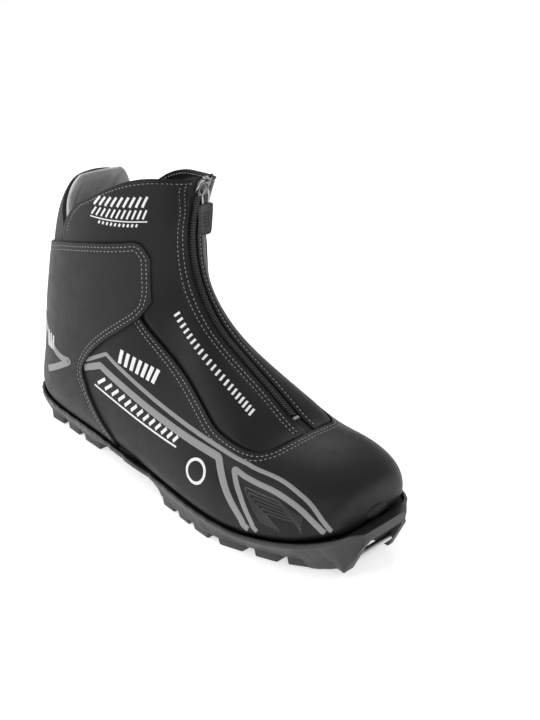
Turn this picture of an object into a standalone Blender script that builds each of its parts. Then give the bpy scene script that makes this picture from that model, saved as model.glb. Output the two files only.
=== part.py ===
"""Cross-country ski boot with a full-length zipped cover, right foot, about EU 43.

Frame: +X to the toe, +Y to the medial side, +Z up. The tread stands on z = 0.
Lengths are millimetres until they reach Blender, which gets metres.
"""
import math

import bmesh
import bpy
import numpy as np

MM = 0.001
ORIGIN_X = 136.36         # middle of the boot's length, which becomes x = 0
ORIGIN_Y = -7.66          # middle of its width, which becomes y = 0

# ---- zip line: an arc round the instep, then straight down to the vamp ----
ZIP_CENTRE = (199.7, 164.8)
ZIP_RADIUS = 69.7
ZIP_TOP = 145.0           # degrees round the arc's centre
ZIP_BEND = 239.6
ZIP_RUN = 71.4            # straight stretch below the bend
SLIDER_AT = 151.0
COVER_EDGE = 5.2          # half width of the open strip over the zip

# ---- layers, depth under the upper's outer face ----
SHELL = (0.0, 1.6)
OVERLAY = (-1.8, -0.45)
COVER = (0.1, 2.2)
TUCK = (2.3, 3.4)         # the cover where a panel laps over it
STIFFENER = (2.15, 3.15)
LINING_FOOT = 4.4
LINING_CUFF = 6.8
LINING = 0.9
TAPE = (2.6, 3.1)
COIL = (0.25, 2.25)
EYESTAY = (7.0, 7.9)
TONGUE = (8.4, 11.6)
LOOP = (3.7, 6.6)

# ---- sole ----
RIM = 2.2
CUP_GAP = 0.8
BAR_RADIUS = 2.0
BAR_AT = (281.3, 10.5)
EAR_GAP = 15.8            # half width of the binding recess between the ears
EAR_FRONT = 280.6         # where the ears' front slope starts
GROOVE = (10.0, 16.3)
RECESS_X = 265.0
NOSE_X = 290.0
HEEL_LUGS = [(-3, 12), (18, 34), (41, 62)]
FORE_LUGS = [(147, 160), (165, 177), (182, 197), (205, 222), (229, 244), (249, 262)]


def on_arc(degrees, depth=0.0):
    """Point (x, z) on the zip's arc, depth inwards of it."""
    turn = math.radians(degrees)
    reach = ZIP_RADIUS + depth
    return ZIP_CENTRE[0] + reach * math.cos(turn), ZIP_CENTRE[1] + reach * math.sin(turn)


def zip_point(run, depth=0.0):
    """Point (x, z) at a distance down the zip from its top, depth inwards of it."""
    bend = math.radians(ZIP_BEND - ZIP_TOP) * ZIP_RADIUS
    if run <= bend:
        return on_arc(ZIP_TOP + math.degrees(run / ZIP_RADIUS), depth)
    x, z = on_arc(ZIP_BEND, depth)
    turn = math.radians(ZIP_BEND)
    return x - math.sin(turn) * (run - bend), z + math.cos(turn) * (run - bend)


def ridge_key(station, degrees):
    """Top of a cross-section that lies on the zip's arc."""
    return (station, *on_arc(degrees))


# Cross-sections of the upper from toe (0) to collar (1): station, top x and z, bottom x and z,
# lateral and medial half width, height of the widest line, roundness above and below it.
SECTIONS = np.array([
    (0.00, 281.5, 38.5, 281.5, 31.0, 8.0, 10.0, 0.40, 2.0, 2.0),
    (0.03, 280.0, 47.5, 280.0, 28.0, 24.0, 23.0, 0.35, 2.3, 2.2),
    (0.08, 276.0, 55.0, 276.5, 25.5, 37.0, 32.5, 0.34, 2.4, 2.5),
    (0.16, 264.0, 61.5, 266.0, 22.0, 49.0, 40.5, 0.32, 2.4, 2.8),
    (0.26, 245.5, 66.0, 246.0, 16.0, 57.0, 44.5, 0.32, 2.5, 2.8),
    (0.36, 226.0, 69.0, 220.0, 12.5, 61.0, 45.0, 0.32, 2.5, 2.8),
    (0.46, 206.0, 80.3, 188.0, 12.0, 60.5, 43.5, 0.31, 2.3, 2.8),
    (0.55, 184.5, 92.9, 148.0, 13.5, 56.0, 42.0, 0.31, 2.1, 2.8),
    (*ridge_key(0.63, 236.0), 100.0, 14.0, 49.0, 41.0, 0.33, 2.0, 2.8),
    (*ridge_key(0.70, 218.0), 45.0, 14.0, 43.0, 40.5, 0.37, 2.0, 2.7),
    (*ridge_key(0.76, 203.0), -6.0, 19.0, 39.0, 39.5, 0.43, 2.0, 2.5),
    (*ridge_key(0.82, 188.5), -12.5, 48.0, 37.5, 38.5, 0.50, 2.0, 2.2),
    (*ridge_key(0.88, 174.0), -9.5, 84.0, 37.0, 37.0, 0.52, 2.0, 2.1),
    (*ridge_key(0.94, 160.0), -1.0, 122.0, 38.0, 34.5, 0.52, 2.1, 2.1),
    (*ridge_key(1.00, 146.0), 13.0, 166.0, 39.5, 31.5, 0.52, 2.1, 2.1),
    (*ridge_key(1.06, 133.0), 38.0, 196.0, 41.0, 29.0, 0.52, 2.1, 2.1)])


def bending(keys):
    """Second derivatives of the natural cubic spline through the key rows."""
    at = keys[:, 0]
    rows = keys[:, 1:]
    count = len(at)
    step = np.diff(at)
    matrix = np.zeros((count, count))
    right = np.zeros((count, rows.shape[1]))
    matrix[0, 0] = matrix[-1, -1] = 1.0
    for k in range(1, count - 1):
        matrix[k, k - 1:k + 2] = step[k - 1], 2 * (step[k - 1] + step[k]), step[k]
        right[k] = 6 * ((rows[k + 1] - rows[k]) / step[k] - (rows[k] - rows[k - 1]) / step[k - 1])
    return np.linalg.solve(matrix, right)


SECTION_BEND = bending(SECTIONS)


def section(station):
    """Cross-section numbers at a station, read from the spline."""
    at = SECTIONS[:, 0]
    station = min(max(station, at[0]), at[-1])
    k = min(int(np.searchsorted(at, station, side="right")) - 1, len(at) - 2)
    step = at[k + 1] - at[k]
    before = station - at[k]
    after = at[k + 1] - station
    low = SECTIONS[k, 1:]
    high = SECTIONS[k + 1, 1:]
    return (SECTION_BEND[k] * after ** 3 + SECTION_BEND[k + 1] * before ** 3) / (6 * step) \
        + (low / step - SECTION_BEND[k] * step / 6) * after \
        + (high / step - SECTION_BEND[k + 1] * step / 6) * before


def skin_point(station, angle):
    """Point on the upper: angle 0 is the zip line, -90 lateral, 90 medial, 180 underside or heel."""
    top_x, top_z, low_x, low_z, lateral, medial, belt, above, below = section(station)
    cosine = math.cos(math.radians(angle))
    sine = math.sin(math.radians(angle))
    power = 2 / (above if cosine >= 0 else below)
    rise = abs(cosine) ** power
    height = belt + (1 - belt) * rise if cosine >= 0 else belt - belt * rise
    width = (medial if sine >= 0 else lateral) * abs(sine) ** power
    return np.array([low_x + (top_x - low_x) * height,
                     math.copysign(width, sine),
                     low_z + (top_z - low_z) * height])


def skin(station, angle, depth=0.0):
    """Point a given depth under the upper's outer face."""
    here = skin_point(station, angle)
    near = max(station - 0.004, 0.0)
    along = skin_point(min(station + 0.004, 1.06), angle) - skin_point(near, angle)
    round_ = skin_point(station, angle + 2.0) - skin_point(station, angle - 2.0)
    out = np.cross(round_, along)
    out /= np.linalg.norm(out)
    middle = section(station)
    centre = np.array([middle[2] + (middle[0] - middle[2]) * middle[6], 0.0,
                       middle[3] + (middle[1] - middle[3]) * middle[6]])
    if np.dot(out, here - centre) < 0:
        out = -out
    return here - out * depth


def curve(points):
    """Straight-line reading of a short list of (input, value) points."""
    inputs = [p[0] for p in points]
    values = [p[1] for p in points]
    return lambda x: float(np.interp(x, inputs, values))


def smooth(points):
    """Rounded reading of a short list of (input, value) points."""
    keys = np.array(points, float)
    bend = bending(keys)

    def read(x):
        x = min(max(x, keys[0, 0]), keys[-1, 0])
        k = min(int(np.searchsorted(keys[:, 0], x, side="right")) - 1, len(keys) - 2)
        step = keys[k + 1, 0] - keys[k, 0]
        before = x - keys[k, 0]
        after = step - before
        return float((bend[k, 0] * after ** 3 + bend[k + 1, 0] * before ** 3) / (6 * step)
                     + (keys[k, 1] / step - bend[k, 0] * step / 6) * after
                     + (keys[k + 1, 1] / step - bend[k + 1, 0] * step / 6) * before)
    return read


def angle_at_width(station, width, side):
    """Angle where the upper's top face is a given distance from the zip line."""
    row = section(station)
    half = row[5] if side > 0 else row[4]
    return side * math.degrees(math.asin(min((width / half) ** (row[7] / 2), 1.0)))


def angle_at_height(station, rise, side):
    """Angle where the upper is a given height above the section's lowest point."""
    row = section(station)
    share = min(rise / (np.hypot(row[1] - row[3], row[0] - row[2])), row[6])
    cosine = ((row[6] - share) / row[6]) ** (row[8] / 2)
    return side * (180 - math.degrees(math.acos(min(cosine, 1.0))))


# ---- edges of the upper's panels, station against angle or angle against station ----
THROAT = 0.335
VAMP_EDGE = curve([(0.335, 0), (0.338, 12), (0.343, 20), (0.352, 26.5), (0.368, 32), (0.39, 36.5),
                   (0.42, 40.5), (0.455, 43.5), (0.49, 44.5), (0.53, 44), (0.57, 42), (0.60, 40.5),
                   (0.65, 40.5), (0.70, 43), (0.75, 47), (0.80, 50)])
OVERLAY_TOP = smooth([(38, 0.850), (44, 0.882), (55, 0.905), (71, 0.922), (90, 0.940),
                      (113, 0.954), (131, 0.958), (180, 0.962)])
OVERLAY_FRONT = curve([(38, 0.768), (47, 0.752), (59, 0.755), (72, 0.758), (82, 0.753), (88, 0.742),
                       (90, 0.722), (95, 0.695), (107, 0.657), (113, 0.646), (125, 0.638), (135, 0.641)])
COVER_BACK = smooth([(0.34, 24), (0.385, 43), (0.445, 49), (0.50, 52), (0.55, 50), (0.61, 48),
                     (0.67, 49), (0.75, 55), (0.78, 55), (0.82, 50), (0.86, 52), (0.89, 62), (0.915, 82),
                     (0.938, 106), (0.96, 114), (0.98, 113), (1.00, 100)])
COVER_TOP = {-1: smooth([(0, 1.0), (7, 1.001), (30, 1.015), (60, 1.034), (72, 1.030), (83, 1.020),
                         (95, 1.006), (120, 1.0)]),
             1: smooth([(0, 0.998), (15, 0.997), (45, 1.003), (60, 1.010), (75, 1.019), (90, 1.025),
                        (100, 1.018), (108, 1.006), (120, 1.0)])}


def station_at_height(angle, height):
    """Station behind the arch where the upper stands at a given height."""
    low, high = 0.60, 0.82
    for _ in range(30):
        middle = (low + high) / 2
        if skin_point(middle, angle)[2] < height:
            low = middle
        else:
            high = middle
    return high


def overlay_low(fold):
    """Lower edge of the heel overlay: its own front edge, then a line inside the sole's rim."""
    if fold <= 135:
        return OVERLAY_FRONT(fold)
    return station_at_height(fold, 20.0)


TAB_TOP = smooth([(110, 0.972), (120, 0.992), (132, 1.022), (145, 1.045), (160, 1.055), (180, 1.058)])


def clear_scene():
    for old in list(bpy.data.objects):
        bpy.data.objects.remove(old, do_unlink=True)


def material(name, colour, roughness, metallic=0.0):
    made = bpy.data.materials.new(name)
    made.use_nodes = True
    shader = made.node_tree.nodes["Principled BSDF"]
    shader.inputs["Base Color"].default_value = (*colour, 1.0)
    shader.inputs["Roughness"].default_value = roughness
    shader.inputs["Metallic"].default_value = metallic
    return made


def place(point):
    """Model millimetres to world metres."""
    return (float(point[0] - ORIGIN_X) * MM, float(point[1] - ORIGIN_Y) * MM, float(point[2]) * MM)


def finish(name, mesh, looks, pivot=None):
    """Turn a bmesh built in world metres into a named object, its origin on pivot if given."""
    bmesh.ops.recalc_face_normals(mesh, faces=mesh.faces[:])
    if mesh.calc_volume(signed=True) < 0:
        bmesh.ops.reverse_faces(mesh, faces=mesh.faces[:])
    spot = place(pivot) if pivot is not None else (0.0, 0.0, 0.0)
    bmesh.ops.translate(mesh, verts=mesh.verts[:], vec=[-c for c in spot])
    data = bpy.data.meshes.new(name)
    mesh.to_mesh(data)
    mesh.free()
    data.materials.append(looks)
    made = bpy.data.objects.new(name, data)
    made.location = spot
    bpy.context.scene.collection.objects.link(made)
    return made


def panel(name, quads, depths, looks):
    """Closed panel from quads of (station, angle) corners, with a depth pair for each corner.

    Corners that fall on the same place are one node, so a panel may close on itself.
    """
    mesh = bmesh.new()
    seen = {}

    def node(station, angle):
        key = (round(station, 5), round(angle % 360.0, 3) % 360.0)
        if key not in seen:
            seen[key] = [mesh.verts.new(place(skin(station, angle, d))) for d in depths(station, angle)]
        return seen[key]
    edges = {}
    for quad in quads:
        ring = [node(*corner) for corner in quad]
        ring = [r for k, r in enumerate(ring) if r is not ring[k - 1]]
        if len(ring) < 3:
            continue
        mesh.faces.new([r[0] for r in ring])
        mesh.faces.new([r[1] for r in reversed(ring)])
        for k, r in enumerate(ring):
            edges[(id(ring[k - 1]), id(r))] = (ring[k - 1], r)
    for (a, b), (first, second) in edges.items():
        if (b, a) not in edges:
            mesh.faces.new([second[0], first[0], first[1], second[1]])
    return finish(name, mesh, looks)


def sheet(name, grid, depths, looks):
    """Closed panel from a grid of (station, angle) rows."""
    quads = []
    for here, there in zip(grid, grid[1:]):
        for j in range(len(here) - 1):
            quads.append([here[j], there[j], there[j + 1], here[j + 1]])
    return panel(name, quads, depths, looks)


def steps(low, high, count):
    return [low + (high - low) * k / (count - 1) for k in range(count)]


def between(pair):
    """The same two depths all over."""
    return lambda station, angle: pair


# ---------------------------------------------------------------- upper

def toe_rows(last, count):
    """Stations that sit closer together round the toe."""
    return [last * (k / (count - 1)) ** 1.35 for k in range(count)]


def toe_panel(name, rows, foot, gap, half, depths, looks):
    """A panel that is whole over the toe and parts in two wings behind the throat.

    At each station foot gives the angle of its lower edge and gap the angle of its upper one.
    """
    wings = [[], []]
    for station in rows:
        low = foot(station)
        high = gap(station)
        wings[0].append([(station, -a) for a in steps(low, high, half)])
        wings[1].append([(station, a) for a in steps(high, low, half)])
    quads = []
    for wing in wings:
        for here, there in zip(wing, wing[1:]):
            for j in range(half - 1):
                quads.append([here[j], there[j], there[j + 1], here[j + 1]])
    front = wings[0][0] + wings[1][0][1:]
    for j in range((len(front) - 1) // 2):
        quads.append([front[j], front[j + 1], front[-2 - j], front[-1 - j]])
    return panel(name, quads, depths, looks)


def vamp_and_quarters(looks):
    """One outer panel round the toe; its wings run back under the heel overlay."""
    back = curve([(0.59, 156), (0.61, 146), (0.63, 137), (0.655, 122), (0.67, 113), (0.695, 105),
                  (0.722, 99), (0.745, 97), (0.775, 93)])

    def foot(station):
        edge = angle_at_height(station, 1.2, 1)
        return min(edge, back(station)) if station > 0.60 else edge

    def gap(station):
        return VAMP_EDGE(station) if station > THROAT else 0.0
    rows = toe_rows(THROAT, 12) + [0.338, 0.343, 0.352, 0.368, 0.39, 0.42, 0.455, 0.49, 0.53, 0.57, 0.60,
                                   0.625, 0.65, 0.67, 0.69, 0.72, 0.75, 0.775]
    toe_panel("vamp_and_quarters", rows, foot, gap, 12, between(SHELL), looks)


def heel_overlay(looks):
    """Ankle and heel overlay, one piece round the back of the foot."""
    columns = [38, 42, 48, 54, 60, 66, 72, 80, 85, 88, 90, 95, 101, 107, 113, 119, 127, 135, 144, 155, 167]
    columns = columns + [180] + [360 - c for c in reversed(columns)]
    grid = []
    for angle in columns:
        fold = min(angle, 360 - angle)
        low = overlay_low(fold)
        rise = OVERLAY_TOP(fold) - low
        grid.append([(low + rise * (k / 11) ** 1.35, -angle) for k in range(12)])
    sheet("heel_overlay", grid, between((OVERLAY[1], OVERLAY[0])), looks)


def cover(side, name, looks):
    """Padded cover panel from the zip back under the overlay and down under the vamp's edge."""
    rows = [0.352, 0.368, 0.39, 0.42, 0.455, 0.49, 0.53, 0.57, 0.60, 0.65, 0.69, 0.72, 0.75, 0.783,
            0.797, 0.825, 0.855, 0.88, 0.90, 0.92, 0.938, 0.96, 0.98, 1.0]
    covered = 0.785
    grid = []
    sunken = set()
    for base in rows:
        back = COVER_BACK(base)
        front = abs(angle_at_width(base, COVER_EDGE, side))
        lapped = VAMP_EDGE(min(base, 0.80))
        angles = [back, lapped - 1.0, lapped - 3.2]
        if base > covered:
            angles = [back, back * 0.92 + front * 0.08, back * 0.84 + front * 0.16]
        angles += [angles[-1] + (front - angles[-1]) * share for share in steps(1 / 7, 1.0, 7)]
        row = []
        for number, angle in enumerate(angles):
            lift = max(base - 0.93, 0.0) / 0.07
            spot = (base + (COVER_TOP[side](angle) - 1.0) * lift, side * angle)
            row.append(spot)
            if base < covered and (number < 2 or base < 0.36):
                sunken.add(spot)
        grid.append(row)

    def depths(station, angle):
        return TUCK if (station, angle) in sunken else COVER
    sheet(name, grid, depths, looks)


def heel_tab(looks):
    """Fabric strip that rises behind the heel above the overlay."""
    grid = []
    for angle in (115.3, 121, 128, 135, 143, 152, 161, 170, 180, 190, 199, 208, 217, 225, 232, 239, 244.7):
        fold = min(angle, 360 - angle)
        grid.append([(s, -angle) for s in steps(OVERLAY_TOP(fold) + 0.004, TAB_TOP(fold), 6)])
    sheet("heel_tab", grid, between((0.3, 2.2)), looks)


def lining(looks):
    """Inner lining of the foot and the collar, open over the instep."""
    def depth(station):
        share = min(max((station - 0.78) / 0.10, 0.0), 1.0)
        return LINING_FOOT + (LINING_CUFF - LINING_FOOT) * share

    heel = curve([(0.66, 0), (0.70, 128), (0.72, 137), (0.735, 147), (0.75, 161), (0.765, 180)])

    def foot(station):
        return max(angle_at_height(station, 8.5, 1), heel(station))

    def gap(station):
        return 0.0 if station <= 0.44 else min((station - 0.44) / 0.06, 1.0) ** 0.5 * 42.0
    rows = toe_rows(0.44, 11)[1:] + [0.455, 0.48, 0.52, 0.56, 0.60, 0.635, 0.67, 0.70, 0.72, 0.735,
                                     0.75, 0.765, 0.777, 0.795, 0.82, 0.85, 0.88, 0.91, 0.94, 0.97, 0.995]
    toe_panel("lining", rows, foot, gap, 11,
                lambda s, a: (depth(s), depth(s) + LINING), looks)


def collar_facing(looks):
    """Fleece facing that carries the lining up behind the heel."""
    grid = []
    for angle in (108, 116, 124, 133, 142, 151, 161, 170, 180, 190, 199, 209, 218, 227, 236, 244, 252):
        fold = min(angle, 360 - angle)
        top = TAB_TOP(max(fold, 110)) - 0.002
        grid.append([(s, -angle) for s in steps(0.997, max(top, 1.006), 6)])
    sheet("collar_facing", grid, between((2.7, 7.4)), looks)


def collar_pad(looks):
    """Foam ring inside the collar between the lining and the cover."""
    grid = []
    for angle in steps(56, 304, 25):
        grid.append([(s, -angle) for s in steps(0.893, 0.99, 4)])
    sheet("collar_pad", grid, between((3.2, 6.2)), looks)


def heel_counter(looks):
    """Stiff cup round the heel under the quarters."""
    grid = []
    for angle in steps(100, 260, 19):
        fold = min(angle, 360 - angle)
        low = 0.735 + 0.05 * (fold - 100) / 80
        grid.append([(s, -angle) for s in steps(low, 0.85, 7)])
    sheet("heel_counter", grid, between(STIFFENER), looks)


def toe_puff(looks):
    """Stiff cap over the toes."""
    toe_panel("toe_puff", toe_rows(0.20, 8), lambda s: angle_at_height(s, 9.0, 1), lambda s: 0.0, 9,
              between(STIFFENER), looks)


def tongue(looks):
    """Padded tongue over the instep."""
    grid = []
    for station in (0.50, 0.54, 0.58, 0.62, 0.66, 0.70, 0.74, 0.78, 0.82, 0.86, 0.90, 0.94, 0.975):
        grid.append([(station, a) for a in steps(-38, 38, 9)])
    sheet("tongue", grid, between(TONGUE), looks)


def eyestay(side, name, looks):
    """Webbing-faced strip along the instep that the lace loops are sewn to."""
    grid = []
    for station in steps(0.50, 0.93, 14):
        grid.append([(station, side * a) for a in steps(20, 38, 4)])
    sheet(name, grid, between(EYESTAY), looks)


def lace_loop(station, side, name, looks):
    """Folded webbing loop with a slot that the lace runs through."""
    mesh = bmesh.new()
    angles = steps(24, 33, 4)
    rings = []
    for at in (station - 0.011, station + 0.011):
        outer = [skin(at, side * a, LOOP[0]) for a in angles]
        outer += [skin(at, side * a, LOOP[1]) for a in reversed(angles)]
        inner = [skin(at, side * a, LOOP[0] + 0.8) for a in angles[1:3]]
        inner += [skin(at, side * a, LOOP[1] - 0.8) for a in reversed(angles[1:3])]
        rings.append(([mesh.verts.new(place(p)) for p in outer],
                      [mesh.verts.new(place(p)) for p in inner]))
    for which in (0, 1):
        first = rings[0][which]
        second = rings[1][which]
        for k in range(len(first)):
            mesh.faces.new([first[k - 1], first[k], second[k], second[k - 1]])
    for outer, inner in rings:
        mesh.faces.new([outer[0], outer[1], inner[0], inner[3], outer[6], outer[7]])
        mesh.faces.new([outer[1], outer[2], inner[1], inner[0]])
        mesh.faces.new([outer[2], outer[3], outer[4], outer[5], inner[2], inner[1]])
        mesh.faces.new([outer[5], outer[6], inner[3], inner[2]])
    finish(name, mesh, looks)


# ---------------------------------------------------------------- zip

def zip_strip(name, runs, profile, looks):
    """Closed strip along the zip: profile gives its ring of (y, depth) at each distance."""
    mesh = bmesh.new()
    rings = []
    for run in runs:
        ring = []
        for y, depth in profile(run):
            x, z = zip_point(run, depth)
            ring.append(mesh.verts.new(place((x, y, z))))
        rings.append(ring)
    for a, b in zip(rings, rings[1:]):
        for k in range(len(a)):
            mesh.faces.new([a[k - 1], a[k], b[k], b[k - 1]])
    mesh.faces.new(rings[0])
    mesh.faces.new(list(reversed(rings[-1])))
    finish(name, mesh, looks)


ZIP_LENGTH = math.radians(ZIP_BEND - ZIP_TOP) * ZIP_RADIUS + ZIP_RUN


def zip_tape(side, name, looks):
    grid = []
    for station in (0.335, 0.352, 0.366, *steps(0.380, 1.003, 29)):
        widths = (0.6, 2.6, 4.6) if station < 0.380 else (0.6, 5.5, 11.0)
        grid.append([(station, angle_at_width(station, width, side)) for width in widths])
    sheet(name, grid, between(TAPE), looks)


def zip_coil(side, name, looks):
    """Row of interlocking teeth, each row's teeth facing the other row's gaps."""
    pitch = 3.0
    first = 3.0
    count = int((ZIP_LENGTH - 14.0) / pitch)
    runs = []
    for k in range(count):
        start = first + k * pitch
        runs += [start, start + 0.45 * pitch]

    def profile(run):
        tooth = (round((run - first) / pitch * 2 - 0.01) % 2 == 0) == (side > 0)
        reach = 0.25 if tooth else 1.0
        return [(side * reach, COIL[0]), (side * 2.4, COIL[0] + 0.3),
                (side * 2.4, COIL[1]), (side * reach, COIL[1])]
    zip_strip(name, runs, profile, looks)


def zip_stop(name, run, low, high, looks):
    ring = [(low, 0.2), (high, 0.2), (high, 2.3), (low, 2.3)]
    zip_strip(name, [run, run + 1.8], lambda at: ring, looks)


def slider_frame(degrees, along, out, y=0.0):
    """Point near the slider: along is up the zip, out is away from the foot."""
    x, z = on_arc(degrees, -out)
    turn = math.radians(degrees)
    return np.array([x + math.sin(turn) * along, y, z - math.cos(turn) * along])


def zip_slider(looks):
    """Slider body: a channel over the chain with a crown that holds the puller."""
    mesh = bmesh.new()
    half = 5.6
    outline = [(-3.9, 1.3), (-3.9, -1.9), (-2.9, -1.9), (-2.9, 0.15), (2.9, 0.15), (2.9, -1.9),
               (3.9, -1.9), (3.9, 1.3)]
    rings = []
    for along in (-half, -half + 3.0, 0.0, half - 3.0, half):
        degrees = SLIDER_AT - math.degrees(along / ZIP_RADIUS)
        rings.append([mesh.verts.new(place(slider_frame(degrees, 0.0, out, y))) for y, out in outline])
    for a, b in zip(rings, rings[1:]):
        for k in range(len(a)):
            mesh.faces.new([a[k - 1], a[k], b[k], b[k - 1]])
    mesh.faces.new(rings[0])
    mesh.faces.new(list(reversed(rings[-1])))
    body = finish("zip_slider", mesh, looks, pivot=(ZIP_CENTRE[0], 0.0, ZIP_CENTRE[1]))
    crown = bmesh.new()
    arch = [(-4.2, 0.9), (-4.2, 2.2), (-2.6, 4.2), (2.6, 4.2), (4.2, 2.2), (4.2, 0.9),
            (3.0, 0.9), (3.0, 1.9), (1.9, 3.0), (-1.9, 3.0), (-3.0, 1.9), (-3.0, 0.9)]
    sides = []
    for y in (-1.3, 1.3):
        sides.append([crown.verts.new(place(slider_frame(SLIDER_AT, along, out, y)))
                      for along, out in arch])
    for k in range(len(arch)):
        crown.faces.new([sides[0][k - 1], sides[0][k], sides[1][k], sides[1][k - 1]])
    crown.faces.new(sides[0])
    crown.faces.new(list(reversed(sides[1])))
    top = finish("crown_union", crown, looks)
    top.hide_render = True
    top.display_type = "WIRE"
    join = body.modifiers.new("crown", "BOOLEAN")
    join.operation = "UNION"
    join.object = top


PULL_PIVOT = slider_frame(SLIDER_AT, 0.9, 2.15)


def hanging(y, drop, out):
    """Point on the puller, which hangs straight down from its pivot."""
    return PULL_PIVOT[0] + out, y, PULL_PIVOT[2] - drop


def pull_link(looks):
    """Metal link through the slider's crown, hanging free."""
    mesh = bmesh.new()
    outer = [(-3.2, -0.45), (3.2, -0.45), (3.2, 6.5), (2.3, 14.5), (-2.3, 14.5), (-3.2, 6.5)]
    inner = [(-2.1, 0.45), (2.1, 0.45), (2.1, 5.6), (1.2, 7.0), (-1.2, 7.0), (-2.1, 5.6)]
    faces = []
    for out in (-0.45, 0.45):
        faces.append([[mesh.verts.new(place(hanging(y, drop, out))) for y, drop in ring]
                      for ring in (outer, inner)])
    back, front = faces
    for a, b in zip(back, front):
        for k in range(len(a)):
            mesh.faces.new([a[k - 1], a[k], b[k], b[k - 1]])
    for ring, hole in faces:
        for k in range(len(ring)):
            mesh.faces.new([ring[k - 1], ring[k], hole[k], hole[k - 1]])
    finish("pull_link", mesh, looks, pivot=PULL_PIVOT)


def prism(name, outline, low, high, looks, point, pivot=None):
    """Extruded outline; point turns (a, b, height) into millimetres."""
    mesh = bmesh.new()
    bottom = [mesh.verts.new(place(point(a, b, low))) for a, b in outline]
    top = [mesh.verts.new(place(point(a, b, high))) for a, b in outline]
    for k in range(len(outline)):
        mesh.faces.new([bottom[k - 1], bottom[k], top[k], top[k - 1]])
    mesh.faces.new(bottom)
    mesh.faces.new(list(reversed(top)))
    return finish(name, mesh, looks, pivot)


def cutter_of(made):
    made.hide_render = True
    made.display_type = "WIRE"
    return made


def boolean(target, tool, operation):
    step = target.modifiers.new(tool.name, "BOOLEAN")
    step.operation = operation
    step.object = tool


def pull_tab(looks):
    """Moulded rubber grip over the link's lower end."""
    outline = [(-5.2, 9.6), (5.2, 9.6), (5.6, 11.0), (4.1, 27.4), (3.2, 28.6),
               (-3.2, 28.6), (-4.1, 27.4), (-5.6, 11.0)]
    tab = prism("pull_tab", outline, -1.3, 1.3, looks, hanging, PULL_PIVOT)
    pocket = [(-3.6, 9.0), (3.6, 9.0), (2.7, 14.9), (-2.7, 14.9)]
    boolean(tab, cutter_of(prism("pocket", pocket, -0.75, 0.75, looks, hanging)), "DIFFERENCE")
    bevel = tab.modifiers.new("edges", "BEVEL")
    bevel.width = 0.35 * MM
    bevel.segments = 1
    bevel.limit_method = "ANGLE"


# ---------------------------------------------------------------- inside the sole

FEATHER = smooth([(-17, 27.0), (0, 25.0), (30, 23.5), (60, 23.5), (100, 24.0), (150, 22.5), (200, 21.5),
                  (230, 22.5), (250, 25.0), (268, 28.0), (281, 30.0), (290, 31.0)])
BASE = smooth([(-17, 21.0), (-12, 15.5), (-6, 10.0), (0, 6.6), (8, 5.2), (18, 5.1), (30, 5.0),
               (62, 5.5), (80, 8.0), (105, 10.5), (130, 9.0), (150, 6.0), (200, 5.0), (262, 6.5),
               (290, 8.0)])
TREAD = curve([(-17, 2.5), (-6, 1.0), (6, 0.0), (240, 0.0), (262, 1.2), (278, 3.2)])
TREAD_INSET = curve([(-17, 9.0), (0, 11.0), (16, 12.5), (57, 12.0), (80, 16.0), (105, 19.0), (128, 15.0),
                     (147, 7.5), (196, 7.5), (206, 9.0), (221, 13.5), (243, 17.5), (262, 21.0), (275, 21.0),
                     (281, 11.0), (285, 5.5), (290, 0.0)])
TREAD_LEAST = 21.0
WALL_LEAN = 0.06
CUP_SLACK = 0.8
FLOOR_WALL = 1.6
CUP_DEPTH = 3.2
WALL_TOP = 3.3
CUP_FLOOR = smooth([(-17, 14.0), (-5, 13.0), (45, 12.3), (100, 12.3), (148, 11.9), (188, 10.6),
                    (220, 11.0), (246, 14.4), (266, 20.4), (276, 23.6), (283, 25.4), (290, 27.0)])


def foot_samples():
    """Places on the lower part of the upper's outer face."""
    found = []
    for station in np.arange(0.0, 0.86, 0.006):
        for angle in np.arange(92.0, 269.0, 2.5):
            found.append(skin_point(station, angle if angle <= 180 else angle - 360))
    return np.array(found)


FOOT_FACE = foot_samples()
FOOT = np.array([p[:2] for p in FOOT_FACE if p[2] < FEATHER(p[0]) + 1.0])


def half_width(x, side, margin):
    """Half width of the foot's outline grown by a margin, on one side."""
    near = np.abs(FOOT[:, 0] - x) < margin
    if not near.any():
        return 0.0
    spots = FOOT[near]
    reach = np.sqrt(margin ** 2 - (x - spots[:, 0]) ** 2)
    return float(np.max(spots[:, 1] * side + reach))


def broad_width(x, side, margin):
    """Half width grown by a margin, read over a few millimetres so the rim runs smoothly."""
    return max(half_width(x + shift, side, margin) for shift in (-2.5, 0.0, 2.5))


def half_width_inside(x, side, height):
    """Half width of the foot at one height, where the lower face curls inwards."""
    near = (np.abs(FOOT_FACE[:, 0] - x) < 5.0) & (np.abs(FOOT_FACE[:, 2] - height) < 1.6) \
        & (FOOT_FACE[:, 1] * side > 3.0)
    if not near.any():
        return 0.0
    return float(np.min(FOOT_FACE[near][:, 1] * side))


def underside(x, side, width):
    """Height of the foot's lower face at a distance from the middle."""
    near = (np.abs(FOOT_FACE[:, 0] - x) < 5.0) & (np.abs(FOOT_FACE[:, 1] * side - width) < 2.5)
    return float(np.min(FOOT_FACE[near][:, 2])) if near.any() else 1e3


def cup_gap(x):
    """Room between the foot's face and the cup: more where the heel overlay goes down into it."""
    return CUP_GAP + 1.7 * min(max((142.0 - x) / 18.0, 0.0), 1.0)


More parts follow.
